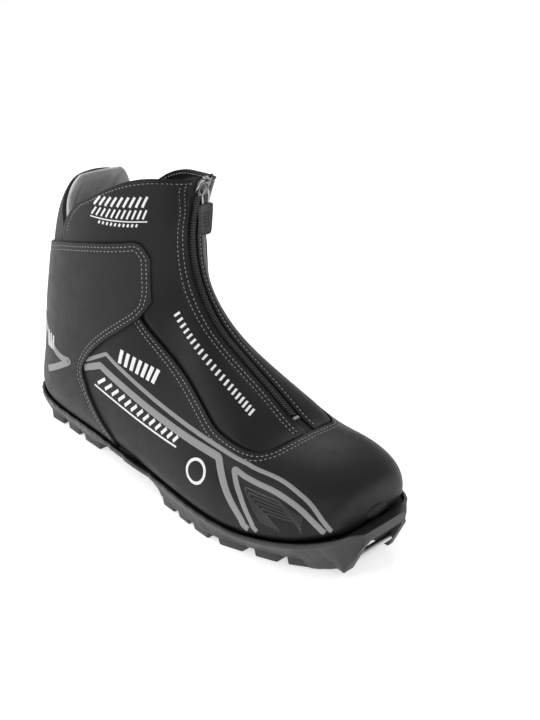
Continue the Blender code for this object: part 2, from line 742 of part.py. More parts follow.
def outsole(looks):
    """Moulded sole: cup with a rim, tread lugs, two guide grooves, toe shelf and ears."""
    heel_end = float(FOOT[:, 0].min())
    toe_end = float(FOOT[:, 0].max())
    cup = (heel_end - cup_gap(0) - 0.2, toe_end + CUP_GAP + 0.2)
    lugs = HEEL_LUGS + FORE_LUGS
    stations = {cup[0] - 2.2, cup[0] - 1.2, cup[0] - 0.25, cup[0], heel_end - 1.6, heel_end - 0.2,
                heel_end + 2.0, -1, 26, 51, 72, 84, 96, 110, 124, 136, 213, 236,
                RECESS_X, RECESS_X + 0.4, 271, 275, 278, 280, 281.3, cup[1], cup[1] + 0.25, 284.8,
                287.4, NOSE_X}
    for pair in lugs:
        stations.update(pair)
    stations = sorted(stations)
    nose = curve([(toe_end + 1.0, 27.5), (284.8, 26.0), (287.4, 22.8), (NOSE_X, 19.0)])

    def outline(x, side):
        width = broad_width(x, side, cup_gap(x) + RIM)
        if x > toe_end - 2.0:
            return max(width, nose(x))
        return max(width, 12.0)

    mesh = bmesh.new()
    tops = []
    lows = []
    mids = []
    for x in stations:
        inside = cup[0] - 1e-6 <= x <= cup[1] + 1e-6
        rim = FEATHER(x)
        floor = max(CUP_FLOOR(x), BASE(x) + FLOOR_WALL) if inside else rim
        wide = [outline(x, -1), outline(x, 1)]
        cup_wide = [max(broad_width(x, side, cup_gap(x) + 0.1), 9.0) for side in (-1, 1)]
        cup_wide = [min(c, w - 1.2) for c, w in zip(cup_wide, wide)]
        row = []
        for side, w, c in ((-1, wide[0], cup_wide[0]), (1, wide[1], cup_wide[1])):
            room = cup_gap(x) + CUP_SLACK
            corner = min(max(underside(x, side, c - 1.0) - room, floor), rim - CUP_DEPTH) if inside else rim
            haunch = min(max(underside(x, side, c * 0.8) - room, floor), corner) if inside else rim
            part = [(side * w, rim), (side * (c + 0.2), rim), (side * c, corner), (side * c * 0.8, haunch),
                    (side * c * 0.5, floor)]
            row += part if side < 0 else [(0.0, floor)] + part[::-1]
        tops.append([mesh.verts.new(place((x, y, z))) for y, z in row])
        base = BASE(x)
        ceiling = CUP_FLOOR(x) - 2.5 if x > RECESS_X + 0.2 else base
        ear_base = base if x < FORE_LUGS[-1][1] else max(TREAD(x), TREAD(NOSE_X) + (x - EAR_FRONT) * 2.2)
        edge = [min(max(w - TREAD_INSET(x), TREAD_LEAST), w) for w in wide]
        row = []
        for side, e in ((-1, edge[0]), (1, edge[1])):
            groove = min(GROOVE[1], e * 0.8)
            inner = min(EAR_GAP, e * 0.76)
            part = [(side * e, ear_base), (side * groove, ear_base), (side * inner, ceiling),
                    (side * min(GROOVE[0], e * 0.5), ceiling)]
            row += part if side < 0 else [(0.0, ceiling)] + part[::-1]
        lows.append([mesh.verts.new(place((x, y, z))) for y, z in row])
        ring = []
        for share in (0.0, 0.5):
            for side, w, e in ((-1, wide[0], edge[0]), (1, wide[1], edge[1])):
                y = w + (e - w) * (WALL_LEAN + (1 - WALL_LEAN) * share)
                top = rim - WALL_TOP
                ring.append(mesh.verts.new(place((x, side * y, top + (ear_base - top) * share))))
        mids.append(ring)
    last = len(stations) - 1
    face_at = {}
    for i in range(last):
        for j in range(len(tops[i]) - 1):
            mesh.faces.new([tops[i][j], tops[i + 1][j], tops[i + 1][j + 1], tops[i][j + 1]])
        for j in range(len(lows[i]) - 1):
            corners = [lows[i][j], lows[i][j + 1], lows[i + 1][j + 1], lows[i + 1][j]]
            face_at[(i, j)] = mesh.faces.new(corners)
        for side, edge in ((0, 0), (1, -1)):
            chain_a = [tops[i][edge], mids[i][side], mids[i][side + 2], lows[i][edge]]
            chain_b = [tops[i + 1][edge], mids[i + 1][side], mids[i + 1][side + 2], lows[i + 1][edge]]
            for k in range(3):
                mesh.faces.new([chain_a[k], chain_a[k + 1], chain_b[k + 1], chain_b[k]])
    for i in (0, last):
        lateral = [mids[i][0], mids[i][2]]
        medial = [mids[i][3], mids[i][1]]
        mesh.faces.new(tops[i] + medial[::-1] + lows[i][::-1] + lateral[::-1])
    bmesh.ops.recalc_face_normals(mesh, faces=mesh.faces[:])
    for low, high in lugs:
        span = [i for i in range(last) if low - 0.01 <= stations[i] and stations[i + 1] <= high + 0.01]
        middle = (low + high) / 2 - ORIGIN_X
        for columns in ((0,), (3, 4), (7,)):
            faces = [face_at[(i, j)] for i in span for j in columns]
            grown = bmesh.ops.extrude_face_region(mesh, geom=faces)
            bmesh.ops.delete(mesh, geom=faces, context="FACES_ONLY")
            tips = [v for v in grown["geom"] if isinstance(v, bmesh.types.BMVert)]
            centre_y = sum(v.co.y for v in tips) / len(tips)
            for v in tips:
                v.co.z = TREAD(v.co.x / MM + ORIGIN_X) * MM
                v.co.x = middle * MM + (v.co.x - middle * MM) * 0.90
                v.co.y = centre_y + (v.co.y - centre_y) * 0.93
    sole = finish("outsole", mesh, looks)
    x, z = BAR_AT
    drill = cylinder("bar_holes", BAR_RADIUS + 0.35, (x, -20.0, z), (x, 20.0, z), 16, looks)
    boolean(sole, cutter_of(drill), "DIFFERENCE")


def cylinder(name, radius, start, end, sides, looks):
    """Round bar between two points that differ along Y."""
    mesh = bmesh.new()
    rings = []
    for at in (start, end):
        rings.append([mesh.verts.new(place((at[0] + radius * math.cos(math.tau * k / sides), at[1],
                                            at[2] + radius * math.sin(math.tau * k / sides))))
                      for k in range(sides)])
    for k in range(sides):
        mesh.faces.new([rings[0][k - 1], rings[0][k], rings[1][k], rings[1][k - 1]])
    mesh.faces.new(rings[0])
    mesh.faces.new(list(reversed(rings[1])))
    return finish(name, mesh, looks)


def plate(name, low_x, high_x, inset, bottom, top, looks, stations=13):
    """Flat-sided board that follows the foot's outline, its faces given by height functions."""
    mesh = bmesh.new()
    rows = []
    for k in range(stations):
        x = low_x + (high_x - low_x) * k / (stations - 1)
        ends = math.sqrt(max(1.0 - (2.0 * k / (stations - 1) - 1.0) ** 6, 0.0))
        row = []
        for z in (bottom(x), top(x)):
            for share in (-1.0, -0.5, 0.5, 1.0):
                side = -1 if share < 0 else 1
                width = max(half_width_inside(x, side, bottom(x)) - inset, 4.0) * max(ends, 0.55)
                row.append(mesh.verts.new(place((x, abs(share) * side * width, z))))
        rows.append(row)
    for a, b in zip(rows, rows[1:]):
        for j in range(3):
            mesh.faces.new([a[j], a[j + 1], b[j + 1], b[j]])
            mesh.faces.new([a[j + 4], b[j + 4], b[j + 5], a[j + 5]])
        mesh.faces.new([a[0], b[0], b[4], a[4]])
        mesh.faces.new([a[3], a[7], b[7], b[3]])
    for row in (rows[0], rows[-1]):
        mesh.faces.new([row[0], row[1], row[2], row[3], row[7], row[6], row[5], row[4]])
    return finish(name, mesh, looks)


def sole_inserts(board_looks, foam_looks, steel_looks):
    """Insole board, shank and footbed stacked inside the foot's outline."""
    shank = [(x, y) for x, y in ((70, -9), (119, -11), (168, -9), (168, 9), (119, 11), (70, 9))]
    prism("shank", shank, 0.7, 1.8, steel_looks, lambda x, y, up: (x, y, CUP_FLOOR(x) + up))
    plate("insole_board", 4.0, 256.0, 4.5, lambda x: CUP_FLOOR(x) + 3.8, lambda x: CUP_FLOOR(x) + 5.2,
          board_looks, 15)
    plate("footbed", 8.0, 254.0, 5.5, lambda x: CUP_FLOOR(x) + 5.6, lambda x: CUP_FLOOR(x) + 9.2,
          foam_looks, 15)


def main():
    clear_scene()
    synthetic = material("synthetic_leather", (0.030, 0.030, 0.032), 0.45)
    overlay = material("overlay_leather", (0.036, 0.036, 0.038), 0.50)
    padded = material("padded_cover", (0.026, 0.026, 0.028), 0.42)
    fabric = material("tab_fabric", (0.018, 0.018, 0.020), 0.85)
    fleece = material("grey_fleece", (0.36, 0.36, 0.37), 0.95)
    foam = material("foam", (0.10, 0.10, 0.11), 0.90)
    board = material("fibre_board", (0.30, 0.26, 0.20), 0.90)
    stiff = material("stiffener", (0.45, 0.42, 0.36), 0.80)
    rubber = material("sole_rubber", (0.055, 0.055, 0.058), 0.62)
    webbing = material("webbing", (0.04, 0.04, 0.045), 0.85)
    tape = material("zip_tape", (0.015, 0.015, 0.016), 0.85)
    teeth = material("zip_teeth", (0.03, 0.03, 0.032), 0.35)
    metal = material("slider_metal", (0.30, 0.30, 0.31), 0.35, 1.0)
    steel = material("bar_steel", (0.62, 0.62, 0.63), 0.28, 1.0)
    grip = material("pull_rubber", (0.06, 0.06, 0.062), 0.60)

    outsole(rubber)
    cylinder("toe_bar", BAR_RADIUS, (BAR_AT[0], -19.6, BAR_AT[1]), (BAR_AT[0], 19.6, BAR_AT[1]), 16, steel)
    sole_inserts(board, foam, steel)
    vamp_and_quarters(synthetic)
    heel_overlay(overlay)
    cover(-1, "cover_lateral", padded)
    cover(1, "cover_medial", padded)
    heel_tab(fabric)
    lining(fleece)
    collar_facing(fleece)
    collar_pad(foam)
    heel_counter(stiff)
    toe_puff(stiff)
    tongue(padded)
    for side, name in ((-1, "lateral"), (1, "medial")):
        eyestay(side, "eyestay_" + name, webbing)
        for number, station in enumerate(steps(0.56, 0.88, 4), 1):
            lace_loop(station, side, "lace_loop_%s_%d" % (name, number), webbing)
        zip_tape(side, "zip_tape_" + name, tape)
        zip_coil(side, "zip_teeth_" + name, teeth)
        low, high = sorted((side * 0.3, side * 2.4))
        zip_stop("top_stop_" + name, 0.4, low, high, metal)
    zip_stop("bottom_stop", ZIP_LENGTH - 9.0, -2.4, 2.4, metal)
    zip_slider(metal)
    pull_link(metal)
    pull_tab(grip)


main()
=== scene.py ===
"""Cross-country ski boot, right foot: upper, zip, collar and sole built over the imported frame."""
import math

import bmesh
import bpy
import numpy as np
from mathutils import Matrix, Vector


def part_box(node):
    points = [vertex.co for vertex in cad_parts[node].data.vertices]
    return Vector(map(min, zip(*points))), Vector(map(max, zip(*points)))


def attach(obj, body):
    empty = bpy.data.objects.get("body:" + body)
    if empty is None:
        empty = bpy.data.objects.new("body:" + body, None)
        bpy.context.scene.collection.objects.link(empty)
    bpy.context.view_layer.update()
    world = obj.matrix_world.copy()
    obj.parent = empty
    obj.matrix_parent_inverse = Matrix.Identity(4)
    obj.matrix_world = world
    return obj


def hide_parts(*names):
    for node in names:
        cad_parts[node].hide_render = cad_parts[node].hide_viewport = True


bl_info = {
    "name": "Cross-country ski boot",
    "version": (1, 0, 0),
    "blender": (4, 5, 0),
    "location": "3D View > Sidebar > Ski boot",
    "description": "Upper, zip, collar, sole and studio for a zipped cross-country ski boot",
    "category": "Add Mesh",
}

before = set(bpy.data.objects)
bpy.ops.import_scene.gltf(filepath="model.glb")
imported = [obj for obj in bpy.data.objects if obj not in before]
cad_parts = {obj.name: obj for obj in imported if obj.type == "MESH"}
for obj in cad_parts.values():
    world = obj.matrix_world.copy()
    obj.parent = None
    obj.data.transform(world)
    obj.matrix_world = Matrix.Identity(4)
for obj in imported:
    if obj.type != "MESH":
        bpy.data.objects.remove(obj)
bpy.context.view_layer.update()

MM = 0.001
BAR_LOW, BAR_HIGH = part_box("toe_bar")
BAR_AT = np.array((281.3, 0.0, 10.5))     # the toe bar's middle in the last's own millimetres
ORIGIN = BAR_AT - np.array((BAR_LOW + BAR_HIGH) / 2) / MM

# ---- the last: the zip's arc and cross-sections from toe (0) to collar (1) ----
ZIP_CENTRE = (199.7, 164.8)
ZIP_RADIUS = 69.7
ZIP_TOP = 145.0
ZIP_BEND = 239.6
ZIP_RUN = 71.4
ZIP_LENGTH = math.radians(ZIP_BEND - ZIP_TOP) * ZIP_RADIUS + ZIP_RUN
SLIDER_AT = 151.0
STRIP = 5.0                                # half width of the open strip over the zip
THROAT = 0.335                             # station where the vamp's edge crosses the foot
TOE_EASE = 1.35                            # rows sit closer together round the toe
NOSE = np.array((281.5, 0.0, 34.0))        # middle of the toe's foremost face
LAST_TOP = 1.06                            # highest station of the last


def on_arc(degrees, depth=0.0):
    """Point (x, z) on the zip's arc, depth inwards of it."""
    turn = np.radians(degrees)
    reach = ZIP_RADIUS + depth
    return ZIP_CENTRE[0] + reach * np.cos(turn), ZIP_CENTRE[1] + reach * np.sin(turn)


def zip_point(run, depth=0.0):
    """Points (x, z) at distances down the zip from its top, depth inwards of it."""
    run = np.asarray(run, float)
    bend = math.radians(ZIP_BEND - ZIP_TOP) * ZIP_RADIUS
    curved = np.minimum(run, bend)
    x, z = on_arc(ZIP_TOP + np.degrees(curved / ZIP_RADIUS), depth)
    turn = math.radians(ZIP_BEND)
    return x - math.sin(turn) * (run - curved), z + math.cos(turn) * (run - curved)


# station, top x and z, bottom x and z, lateral and medial half width, height of the widest line,
# roundness above and below it
SECTIONS = np.array([
    (0.00, 281.5, 38.5, 281.5, 31.0, 8.0, 10.0, 0.40, 2.0, 2.0),
    (0.03, 280.0, 47.5, 280.0, 28.0, 24.0, 23.0, 0.35, 2.3, 2.2),
    (0.08, 276.0, 55.0, 276.5, 25.5, 37.0, 32.5, 0.34, 2.4, 2.5),
    (0.16, 264.0, 61.5, 266.0, 22.0, 49.0, 40.5, 0.32, 2.4, 2.8),
    (0.26, 245.5, 66.0, 246.0, 16.0, 57.0, 44.5, 0.32, 2.5, 2.8),
    (0.36, 226.0, 69.0, 220.0, 12.5, 61.0, 45.0, 0.32, 2.5, 2.8),
    (0.46, 206.0, 80.3, 188.0, 12.0, 60.5, 43.5, 0.31, 2.3, 2.8),
    (0.55, 184.5, 92.9, 148.0, 13.5, 56.0, 42.0, 0.31, 2.1, 2.8),
    (0.63, *on_arc(236.0), 100.0, 14.0, 49.0, 41.0, 0.33, 2.0, 2.8),
    (0.70, *on_arc(218.0), 45.0, 14.0, 43.0, 40.5, 0.37, 2.0, 2.7),
    (0.76, *on_arc(203.0), -6.0, 19.0, 39.0, 39.5, 0.43, 2.0, 2.5),
    (0.82, *on_arc(188.5), -12.5, 48.0, 37.5, 38.5, 0.50, 2.0, 2.2),
    (0.88, *on_arc(174.0), -9.5, 84.0, 37.0, 37.0, 0.52, 2.0, 2.1),
    (0.94, *on_arc(160.0), -1.0, 122.0, 38.0, 34.5, 0.52, 2.1, 2.1),
    (1.00, *on_arc(146.0), 13.0, 166.0, 39.5, 31.5, 0.52, 2.1, 2.1),
    (LAST_TOP, *on_arc(133.0), 38.0, 196.0, 41.0, 29.0, 0.52, 2.1, 2.1)])


def spline(keys):
    """Natural cubic spline through key rows (input, values...), read at an array of inputs."""
    keys = np.array(keys, float)
    at = keys[:, 0]
    rows = keys[:, 1:]
    step = np.diff(at)
    matrix = np.eye(len(at))
    right = np.zeros(rows.shape)
    for k in range(1, len(at) - 1):
        matrix[k, k - 1:k + 2] = step[k - 1], 2 * (step[k - 1] + step[k]), step[k]
        right[k] = 6 * ((rows[k + 1] - rows[k]) / step[k] - (rows[k] - rows[k - 1]) / step[k - 1])
    bend = np.linalg.solve(matrix, right)

    def read(x):
        x = np.clip(np.atleast_1d(np.asarray(x, float)), at[0], at[-1])
        k = np.clip(np.searchsorted(at, x, side="right") - 1, 0, len(at) - 2)
        gap = step[k][:, None]
        before = (x - at[k])[:, None]
        after = gap - before
        return (bend[k] * after ** 3 + bend[k + 1] * before ** 3) / (6 * gap) \
            + (rows[k] / gap - bend[k] * gap / 6) * after \
            + (rows[k + 1] / gap - bend[k + 1] * gap / 6) * before
    return read


section = spline(SECTIONS)


def eased(keys):
    """One-value spline."""
    read = spline(keys)
    return lambda x: read(x)[:, 0]


def rounded(points, passes=3):
    """Open path through (station, angle) points with its corners cut round."""
    path = np.array(points, float)
    for _ in range(passes):
        early = path[:-1] * 0.75 + path[1:] * 0.25
        late = path[:-1] * 0.25 + path[1:] * 0.75
        inner = np.stack([early, late], 1).reshape(-1, path.shape[1])
        path = np.vstack([path[:1], inner[1:-1], path[-1:]])
    return path


def skin_point(station, angle):
    """Points on the upper: angle 0 is the zip line, -90 lateral, 90 medial, 180 underside or heel."""
    row = section(station)
    top_x, top_z, low_x, low_z, lateral, medial, belt, above, below = row.T
    cosine = np.cos(np.radians(angle))
    sine = np.sin(np.radians(angle))
    power = 2 / np.where(cosine >= 0, above, below)
    rise = np.abs(cosine) ** power
    height = np.where(cosine >= 0, belt + (1 - belt) * rise, belt - belt * rise)
    width = np.where(sine >= 0, medial, lateral) * np.abs(sine) ** power
    return np.stack([low_x + (top_x - low_x) * height, np.copysign(width, sine),
                     low_z + (top_z - low_z) * height], 1)


def skin_axes(station, angle):
    """Unit outward normal, and the surface's change per unit of station and per degree."""
    early = np.maximum(station - 0.004, 0.0)
    late = np.minimum(station + 0.004, LAST_TOP)
    along = (skin_point(late, angle) - skin_point(early, angle)) / (late - early)[:, None]
    across = (skin_point(station, angle + 2.0) - skin_point(station, angle - 2.0)) / 4.0
    out = np.cross(across, along)
    out /= np.linalg.norm(out, axis=1)[:, None]
    return out, along, across


def skin(station, angle, depth=0.0):
    """Points a given depth under the upper's outer face, in millimetres."""
    station = np.atleast_1d(np.asarray(station, float))
    angle = np.broadcast_to(np.asarray(angle, float), station.shape)
    out = skin_axes(station, angle)[0]
    return skin_point(station, angle) - out * np.broadcast_to(depth, station.shape)[:, None]


def path_frame(path):
    """Points of a path on the upper, with its outward, forward and sideways directions."""
    points = skin_point(*path.T)
    out = skin_axes(*path.T)[0]
    run = np.gradient(points, axis=0)
    run /= np.linalg.norm(run, axis=1)[:, None]
    return points, out, run, np.cross(out, run)


def shifted(path, distance):
    """The path moved sideways over the surface by a distance in millimetres, to its left."""
    _, along, across = skin_axes(*path.T)
    side = path_frame(path)[3] * distance
    moved = []
    for a, b, s in zip(along, across, side):
        moved.append(np.linalg.lstsq(np.stack([a, b], 1), s, rcond=None)[0])
    return path + np.array(moved)


def dense(path, spacing=0.6):
    """The path read again at even distances over the surface."""
    points = skin_point(*path.T)
    run = np.concatenate([[0.0], np.cumsum(np.linalg.norm(np.diff(points, axis=0), axis=1))])
    at = np.linspace(0.0, run[-1], max(int(run[-1] / spacing) + 1, 2))
    return np.stack([np.interp(at, run, path[:, k]) for k in (0, 1)], 1), at


def place(points):
    """The last's millimetres to world metres."""
    return (np.asarray(points, float) - ORIGIN) * MM


def angle_at_width(station, width, side):
    """Angle where the upper's top face is a given distance from the zip line."""
    row = section(station)
    half = row[:, 5] if side > 0 else row[:, 4]
    return side * np.degrees(np.arcsin(np.minimum((width / half) ** (row[:, 7] / 2), 1.0)))


def angle_at_height(station, rise):
    """Angle where the upper is a given height above the section's lowest point."""
    row = section(station)
    share = np.minimum(rise / np.hypot(row[:, 1] - row[:, 3], row[:, 0] - row[:, 2]), row[:, 6])
    cosine = ((row[:, 6] - share) / row[:, 6]) ** (row[:, 8] / 2)
    return 180 - np.degrees(np.arccos(np.minimum(cosine, 1.0)))


def settle(low, high, value):
    """0 below low, 1 above high, and smooth between."""
    share = np.clip((value - low) / (high - low), 0.0, 1.0)
    return share * share * (3 - 2 * share)


# ---- the panels' edges, as (station, angle) on the lateral side ----
VAMP_PATH = rounded([(THROAT, 0), (THROAT, 8), (0.338, 17), (0.345, 25), (0.365, 33), (0.40, 38.5),
                     (0.445, 43), (0.495, 46), (0.55, 43), (0.61, 40), (0.67, 41), (0.75, 47), (0.79, 50)])
OVERLAY_TOP = eased([(38, 0.850), (44, 0.882), (55, 0.905), (71, 0.922), (90, 0.940),
                     (113, 0.954), (131, 0.958), (180, 0.962)])
OVERLAY_FRONT = rounded([(38, 0.768), (47, 0.752), (59, 0.755), (72, 0.758), (82, 0.753), (88, 0.742),
                         (90, 0.722), (95, 0.695), (107, 0.657), (113, 0.646), (125, 0.638), (135, 0.641)])
COVER_BACK = eased([(0.31, 16), (0.34, 30), (0.385, 43), (0.445, 49), (0.50, 52), (0.55, 50), (0.61, 48),
                    (0.67, 49), (0.75, 55), (0.78, 55), (0.82, 50), (0.86, 52), (0.89, 62), (0.915, 82),
                    (0.938, 106), (0.96, 114), (0.98, 113), (1.00, 104)])
COVER_TOP = {-1: eased([(0, 1.0), (7, 1.001), (30, 1.015), (60, 1.034), (72, 1.030), (83, 1.020),
                        (95, 1.006), (120, 1.0)]),
             1: eased([(0, 0.998), (15, 0.997), (45, 1.003), (60, 1.010), (75, 1.019), (90, 1.025),
                       (100, 1.018), (108, 1.006), (120, 1.0)])}
TAB_TOP = eased([(105, 0.966), (110, 0.972), (120, 0.992), (132, 1.022), (145, 1.045), (160, 1.055),
                 (180, 1.058)])


def vamp_edge(station):
    """Angle of the vamp's edge behind the throat."""
    return np.interp(station, VAMP_PATH[:, 0], VAMP_PATH[:, 1])


def throat_station(angle):
    """Station of the vamp's edge where it runs across the foot at the throat."""
    return np.interp(np.abs(angle), VAMP_PATH[:, 1][:40], VAMP_PATH[:, 0][:40])


def overlay_low(fold):
    """Lower edge of the heel overlay: its own front edge, then a line inside the sole's rim."""
    stations = np.linspace(0.60, 0.82, 45)
    heights = np.stack([skin_point(np.full(fold.shape, s), fold)[:, 2] for s in stations], 1)
    inside = np.array([np.interp(20.0, row, stations) for row in heights])
    front = np.interp(fold, OVERLAY_FRONT[:, 0], OVERLAY_FRONT[:, 1])
    share = settle(126.0, 140.0, fold)
    return front * (1 - share) + inside * share


# ---------------------------------------------------------------- mesh helpers

MERGE = 0.00001


def folded(angle):
    """Angle either side of the heel, measured from the zip line."""
    return np.where(angle < -180.0, angle + 360.0, -angle)


def closed(mesh, merge=MERGE):
    """Join a wrapped grid's seam and fill its open ends."""
    bmesh.ops.remove_doubles(mesh, verts=mesh.verts[:], dist=merge)
    bmesh.ops.holes_fill(mesh, edges=[e for e in mesh.edges if e.is_boundary], sides=0)


def mapped_grid(mesh, cols, rows, mapping):
    """Add a grid to the mesh and move its points to mapping(u, v), in millimetres."""
    made = bmesh.ops.create_grid(mesh, x_segments=cols, y_segments=rows, size=0.5)["verts"]
    flat = np.array([v.co[:2] for v in made]) + 0.5
    for vert, spot in zip(made, place(mapping(flat[:, 0], flat[:, 1]))):
        vert.co = spot
    return made


def add_piece(name, mesh, looks, body="boot", stands_for=(), wall=0.0, edge=0.0, turn=True,
              crease=40.0):
    """Make the mesh an object that rides on a body, with a wall or rounded edges in millimetres."""
    bmesh.ops.remove_doubles(mesh, verts=mesh.verts[:], dist=MERGE)
    if turn:
        bmesh.ops.recalc_face_normals(mesh, faces=mesh.faces[:])
    data = bpy.data.meshes.new(name)
    mesh.to_mesh(data)
    mesh.free()
    data.materials.append(looks)
    data.shade_smooth()
    if not wall:
        data.set_sharp_from_angle(angle=math.radians(crease))
    made = bpy.data.objects.new(name, data)
    bpy.context.scene.collection.objects.link(made)
    if wall:
        shell = made.modifiers.new("wall", "SOLIDIFY")
        shell.thickness = wall * MM
        shell.offset = -1.0
    if edge:
        soft = made.modifiers.new("edge", "BEVEL")
        soft.width = edge * MM
        soft.segments = 2
        soft.limit_method = "ANGLE"
        soft.angle_limit = math.radians(crease)
    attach(made, body)
    if stands_for:
        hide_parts(*stands_for)
    return made


def swept(mesh, path, ring, deepen=0.0):
    """Sweep a ring of (sideways, depth) millimetres along a path on the upper, ends closed."""
    path, _ = dense(path)
    points, out, _, side = path_frame(path)
    ring = np.array(ring, float)
    count = len(ring)

    def mapping(u, v):
        i = np.rint(u * (len(path) - 1)).astype(int)
        j = np.rint(v * count).astype(int) % count
        return points[i] + side[i] * ring[j, :1] - out[i] * (ring[j, 1:] + deepen)
    made = mapped_grid(mesh, len(path) - 1, count, mapping)
    bmesh.ops.remove_doubles(mesh, verts=made, dist=0.000001)
    rims = [e for e in mesh.edges if e.is_boundary]
    bmesh.ops.holes_fill(mesh, edges=rims, sides=count)


def strip_ring(width, height=0.14):
    """Cross-section of a flat printed or welded strip."""
    half = width / 2
    return [(-half, 0.35), (-half, -height * 0.4), (-half + 0.1, -height), (half - 0.1, -height),
            (half, -height * 0.4), (half, 0.35)]


def thread_row(mesh, path, depth, pitch, length, thick, inside=False):
    """Row of stitches along a path on the upper."""
    path, at = dense(path, 0.4)
    points, out, run, _ = path_frame(path)
    points = points - out * depth
    count = int(at[-1] / pitch)
    for k in range(count):
        here = (k + 0.5) * at[-1] / count
        i = min(int(np.searchsorted(at, here)), len(at) - 1)
        x = Vector(run[i])
        z = Vector(-out[i] if inside else out[i])
        y = z.cross(x).normalized()
        turn = Matrix((x * length / 2, y * thick / 2, z * thick * 0.42)).transposed()
        spot = Matrix.Translation(Vector(place(points[i]))) @ (turn * MM).to_4x4()
        bmesh.ops.create_icosphere(mesh, subdivisions=1, radius=1.0, matrix=spot)


def seam_dip(points, seams, deep=0.35, reach=1.0):
    """How far the stitches pull the surface in at each point."""
    if not seams:
        return 0.0
    thread = np.vstack([skin_point(*dense(s, 1.2)[0].T) for s in seams])
    near = np.full(len(points), 1e9)
    for start in range(0, len(thread), 64):
        gap = points[:, None, :] - thread[None, start:start + 64, :]
        near = np.minimum(near, (gap ** 2).sum(2).min(1))
    return deep * np.exp(-near / reach ** 2)


# ---------------------------------------------------------------- node groups and materials

def link(tree, value, socket):
    """Set a socket to a number, or join another socket to it."""
    if isinstance(value, (int, float)):
        socket.default_value = value
    else:
        tree.links.new(value, socket)


def node(tree, kind, **values):
    """New node with its inputs or settings given by name."""
    made = tree.nodes.new(kind)
    for key, value in values.items():
        if key in made.inputs:
            made.inputs[key].default_value = value
        else:
            setattr(made, key, value)
    return made


def math_node(tree, operation, first, second):
    """Result of a sum, product or other operation on two values."""
    made = node(tree, "ShaderNodeMath", operation=operation)
    link(tree, first, made.inputs[0])
    link(tree, second, made.inputs[1])
    return made.outputs[0]


def noise(tree, where, scale, detail, roughness=0.5, distortion=0.0):
    """Noise value over a position."""
    made = node(tree, "ShaderNodeTexNoise", Detail=detail, Roughness=roughness, Distortion=distortion)
    link(tree, where, made.inputs["Vector"])
    link(tree, scale, made.inputs["Scale"])
    return made.outputs["Fac"]


def new_group(name, inputs, outputs):
    """Empty node group with named values: the group, its input and output nodes and its position."""
    group = bpy.data.node_groups.new(name, "ShaderNodeTree")
    for label, value in inputs:
        made = group.interface.new_socket(label, in_out="INPUT", socket_type="NodeSocketFloat")
        made.default_value = value
    for label in outputs:
        group.interface.new_socket(label, in_out="OUTPUT", socket_type="NodeSocketFloat")
    start = group.nodes.new("NodeGroupInput").outputs
    end = group.nodes.new("NodeGroupOutput").inputs
    return group, start, end, group.nodes.new("ShaderNodeTexCoord").outputs["Object"]


def grain_group():
    """Pebbled leather grain: height, tone and polish."""
    group, start, end, where = new_group("leather_grain", [("Scale", 900.0), ("Wear scale", 14.0)],
                                         ["Height", "Tone", "Polish"])
    cells = node(group, "ShaderNodeTexVoronoi", feature="DISTANCE_TO_EDGE")
    link(group, where, cells.inputs["Vector"])
    link(group, start["Scale"], cells.inputs["Scale"])
    fine = noise(group, where, math_node(group, "MULTIPLY", start["Scale"], 0.6), 4.0, 0.6)
    pebble = math_node(group, "MINIMUM", math_node(group, "MULTIPLY", cells.outputs["Distance"], 4.0), 1.0)
    link(group, math_node(group, "ADD", math_node(group, "MULTIPLY", pebble, 0.6),
                          math_node(group, "MULTIPLY", fine, 0.7)), end["Height"])
    link(group, noise(group, where, start["Wear scale"], 3.0), end["Tone"])
    scuffs = math_node(group, "MULTIPLY", start["Wear scale"], 7.0)
    link(group, noise(group, where, scuffs, 6.0, 0.7), end["Polish"])
    return group


def weave_group():
    """Plain weave: height and a soft fuzz tone."""
    group, start, end, where = new_group("plain_weave", [("Threads per metre", 1100.0)], ["Height", "Tone"])
    split = group.nodes.new("ShaderNodeSeparateXYZ")
    link(group, where, split.inputs[0])
    waves = []
    for label in "XY":
        joined = math_node(group, "ADD", split.outputs[label], split.outputs["Z"])
        turn = math_node(group, "MULTIPLY", joined, start[0])
        waves.append(math_node(group, "SINE", math_node(group, "MULTIPLY", turn, 2 * math.pi), 0.0))
    link(group, math_node(group, "MULTIPLY", *waves), end["Height"])
    link(group, noise(group, where, 420.0, 5.0, 0.7), end["Tone"])
    return group


def pile_group():
    """Brushed fleece: soft clumps and short pile."""
    group, start, end, where = new_group("brushed_pile", [("Scale", 700.0)], ["Height", "Tone"])
    short = noise(group, where, start["Scale"], 6.0, 0.75, 0.6)
    clump = noise(group, where, math_node(group, "MULTIPLY", start["Scale"], 0.12), 3.0)
    both = math_node(group, "ADD", math_node(group, "MULTIPLY", short, 0.7),
                     math_node(group, "MULTIPLY", clump, 0.6))
    link(group, both, end["Height"])
    link(group, both, end["Tone"])
    return group


def mould_group():
    """Moulded rubber: spark-eroded skin and rubbed patches."""
    group, start, end, where = new_group("moulded_rubber", [("Scale", 1500.0)], ["Height", "Tone"])
    link(group, noise(group, where, start["Scale"], 3.0, 0.6), end["Height"])
    link(group, noise(group, where, 38.0, 6.0, 0.65), end["Tone"])
    return group


def edge_group():
    """Wear on raised edges, from the surface's pointiness."""
    group, start, end, _ = new_group("edge_wear", [("Sharpness", 9.0)], ["Mask"])
    shape = group.nodes.new("ShaderNodeNewGeometry")
    lifted = math_node(group, "SUBTRACT", shape.outputs["Pointiness"], 0.505)
    gained = math_node(group, "MULTIPLY", lifted, start[0])
    link(group, math_node(group, "MAXIMUM", math_node(group, "MINIMUM", gained, 1.0), 0.0), end["Mask"])
    return group


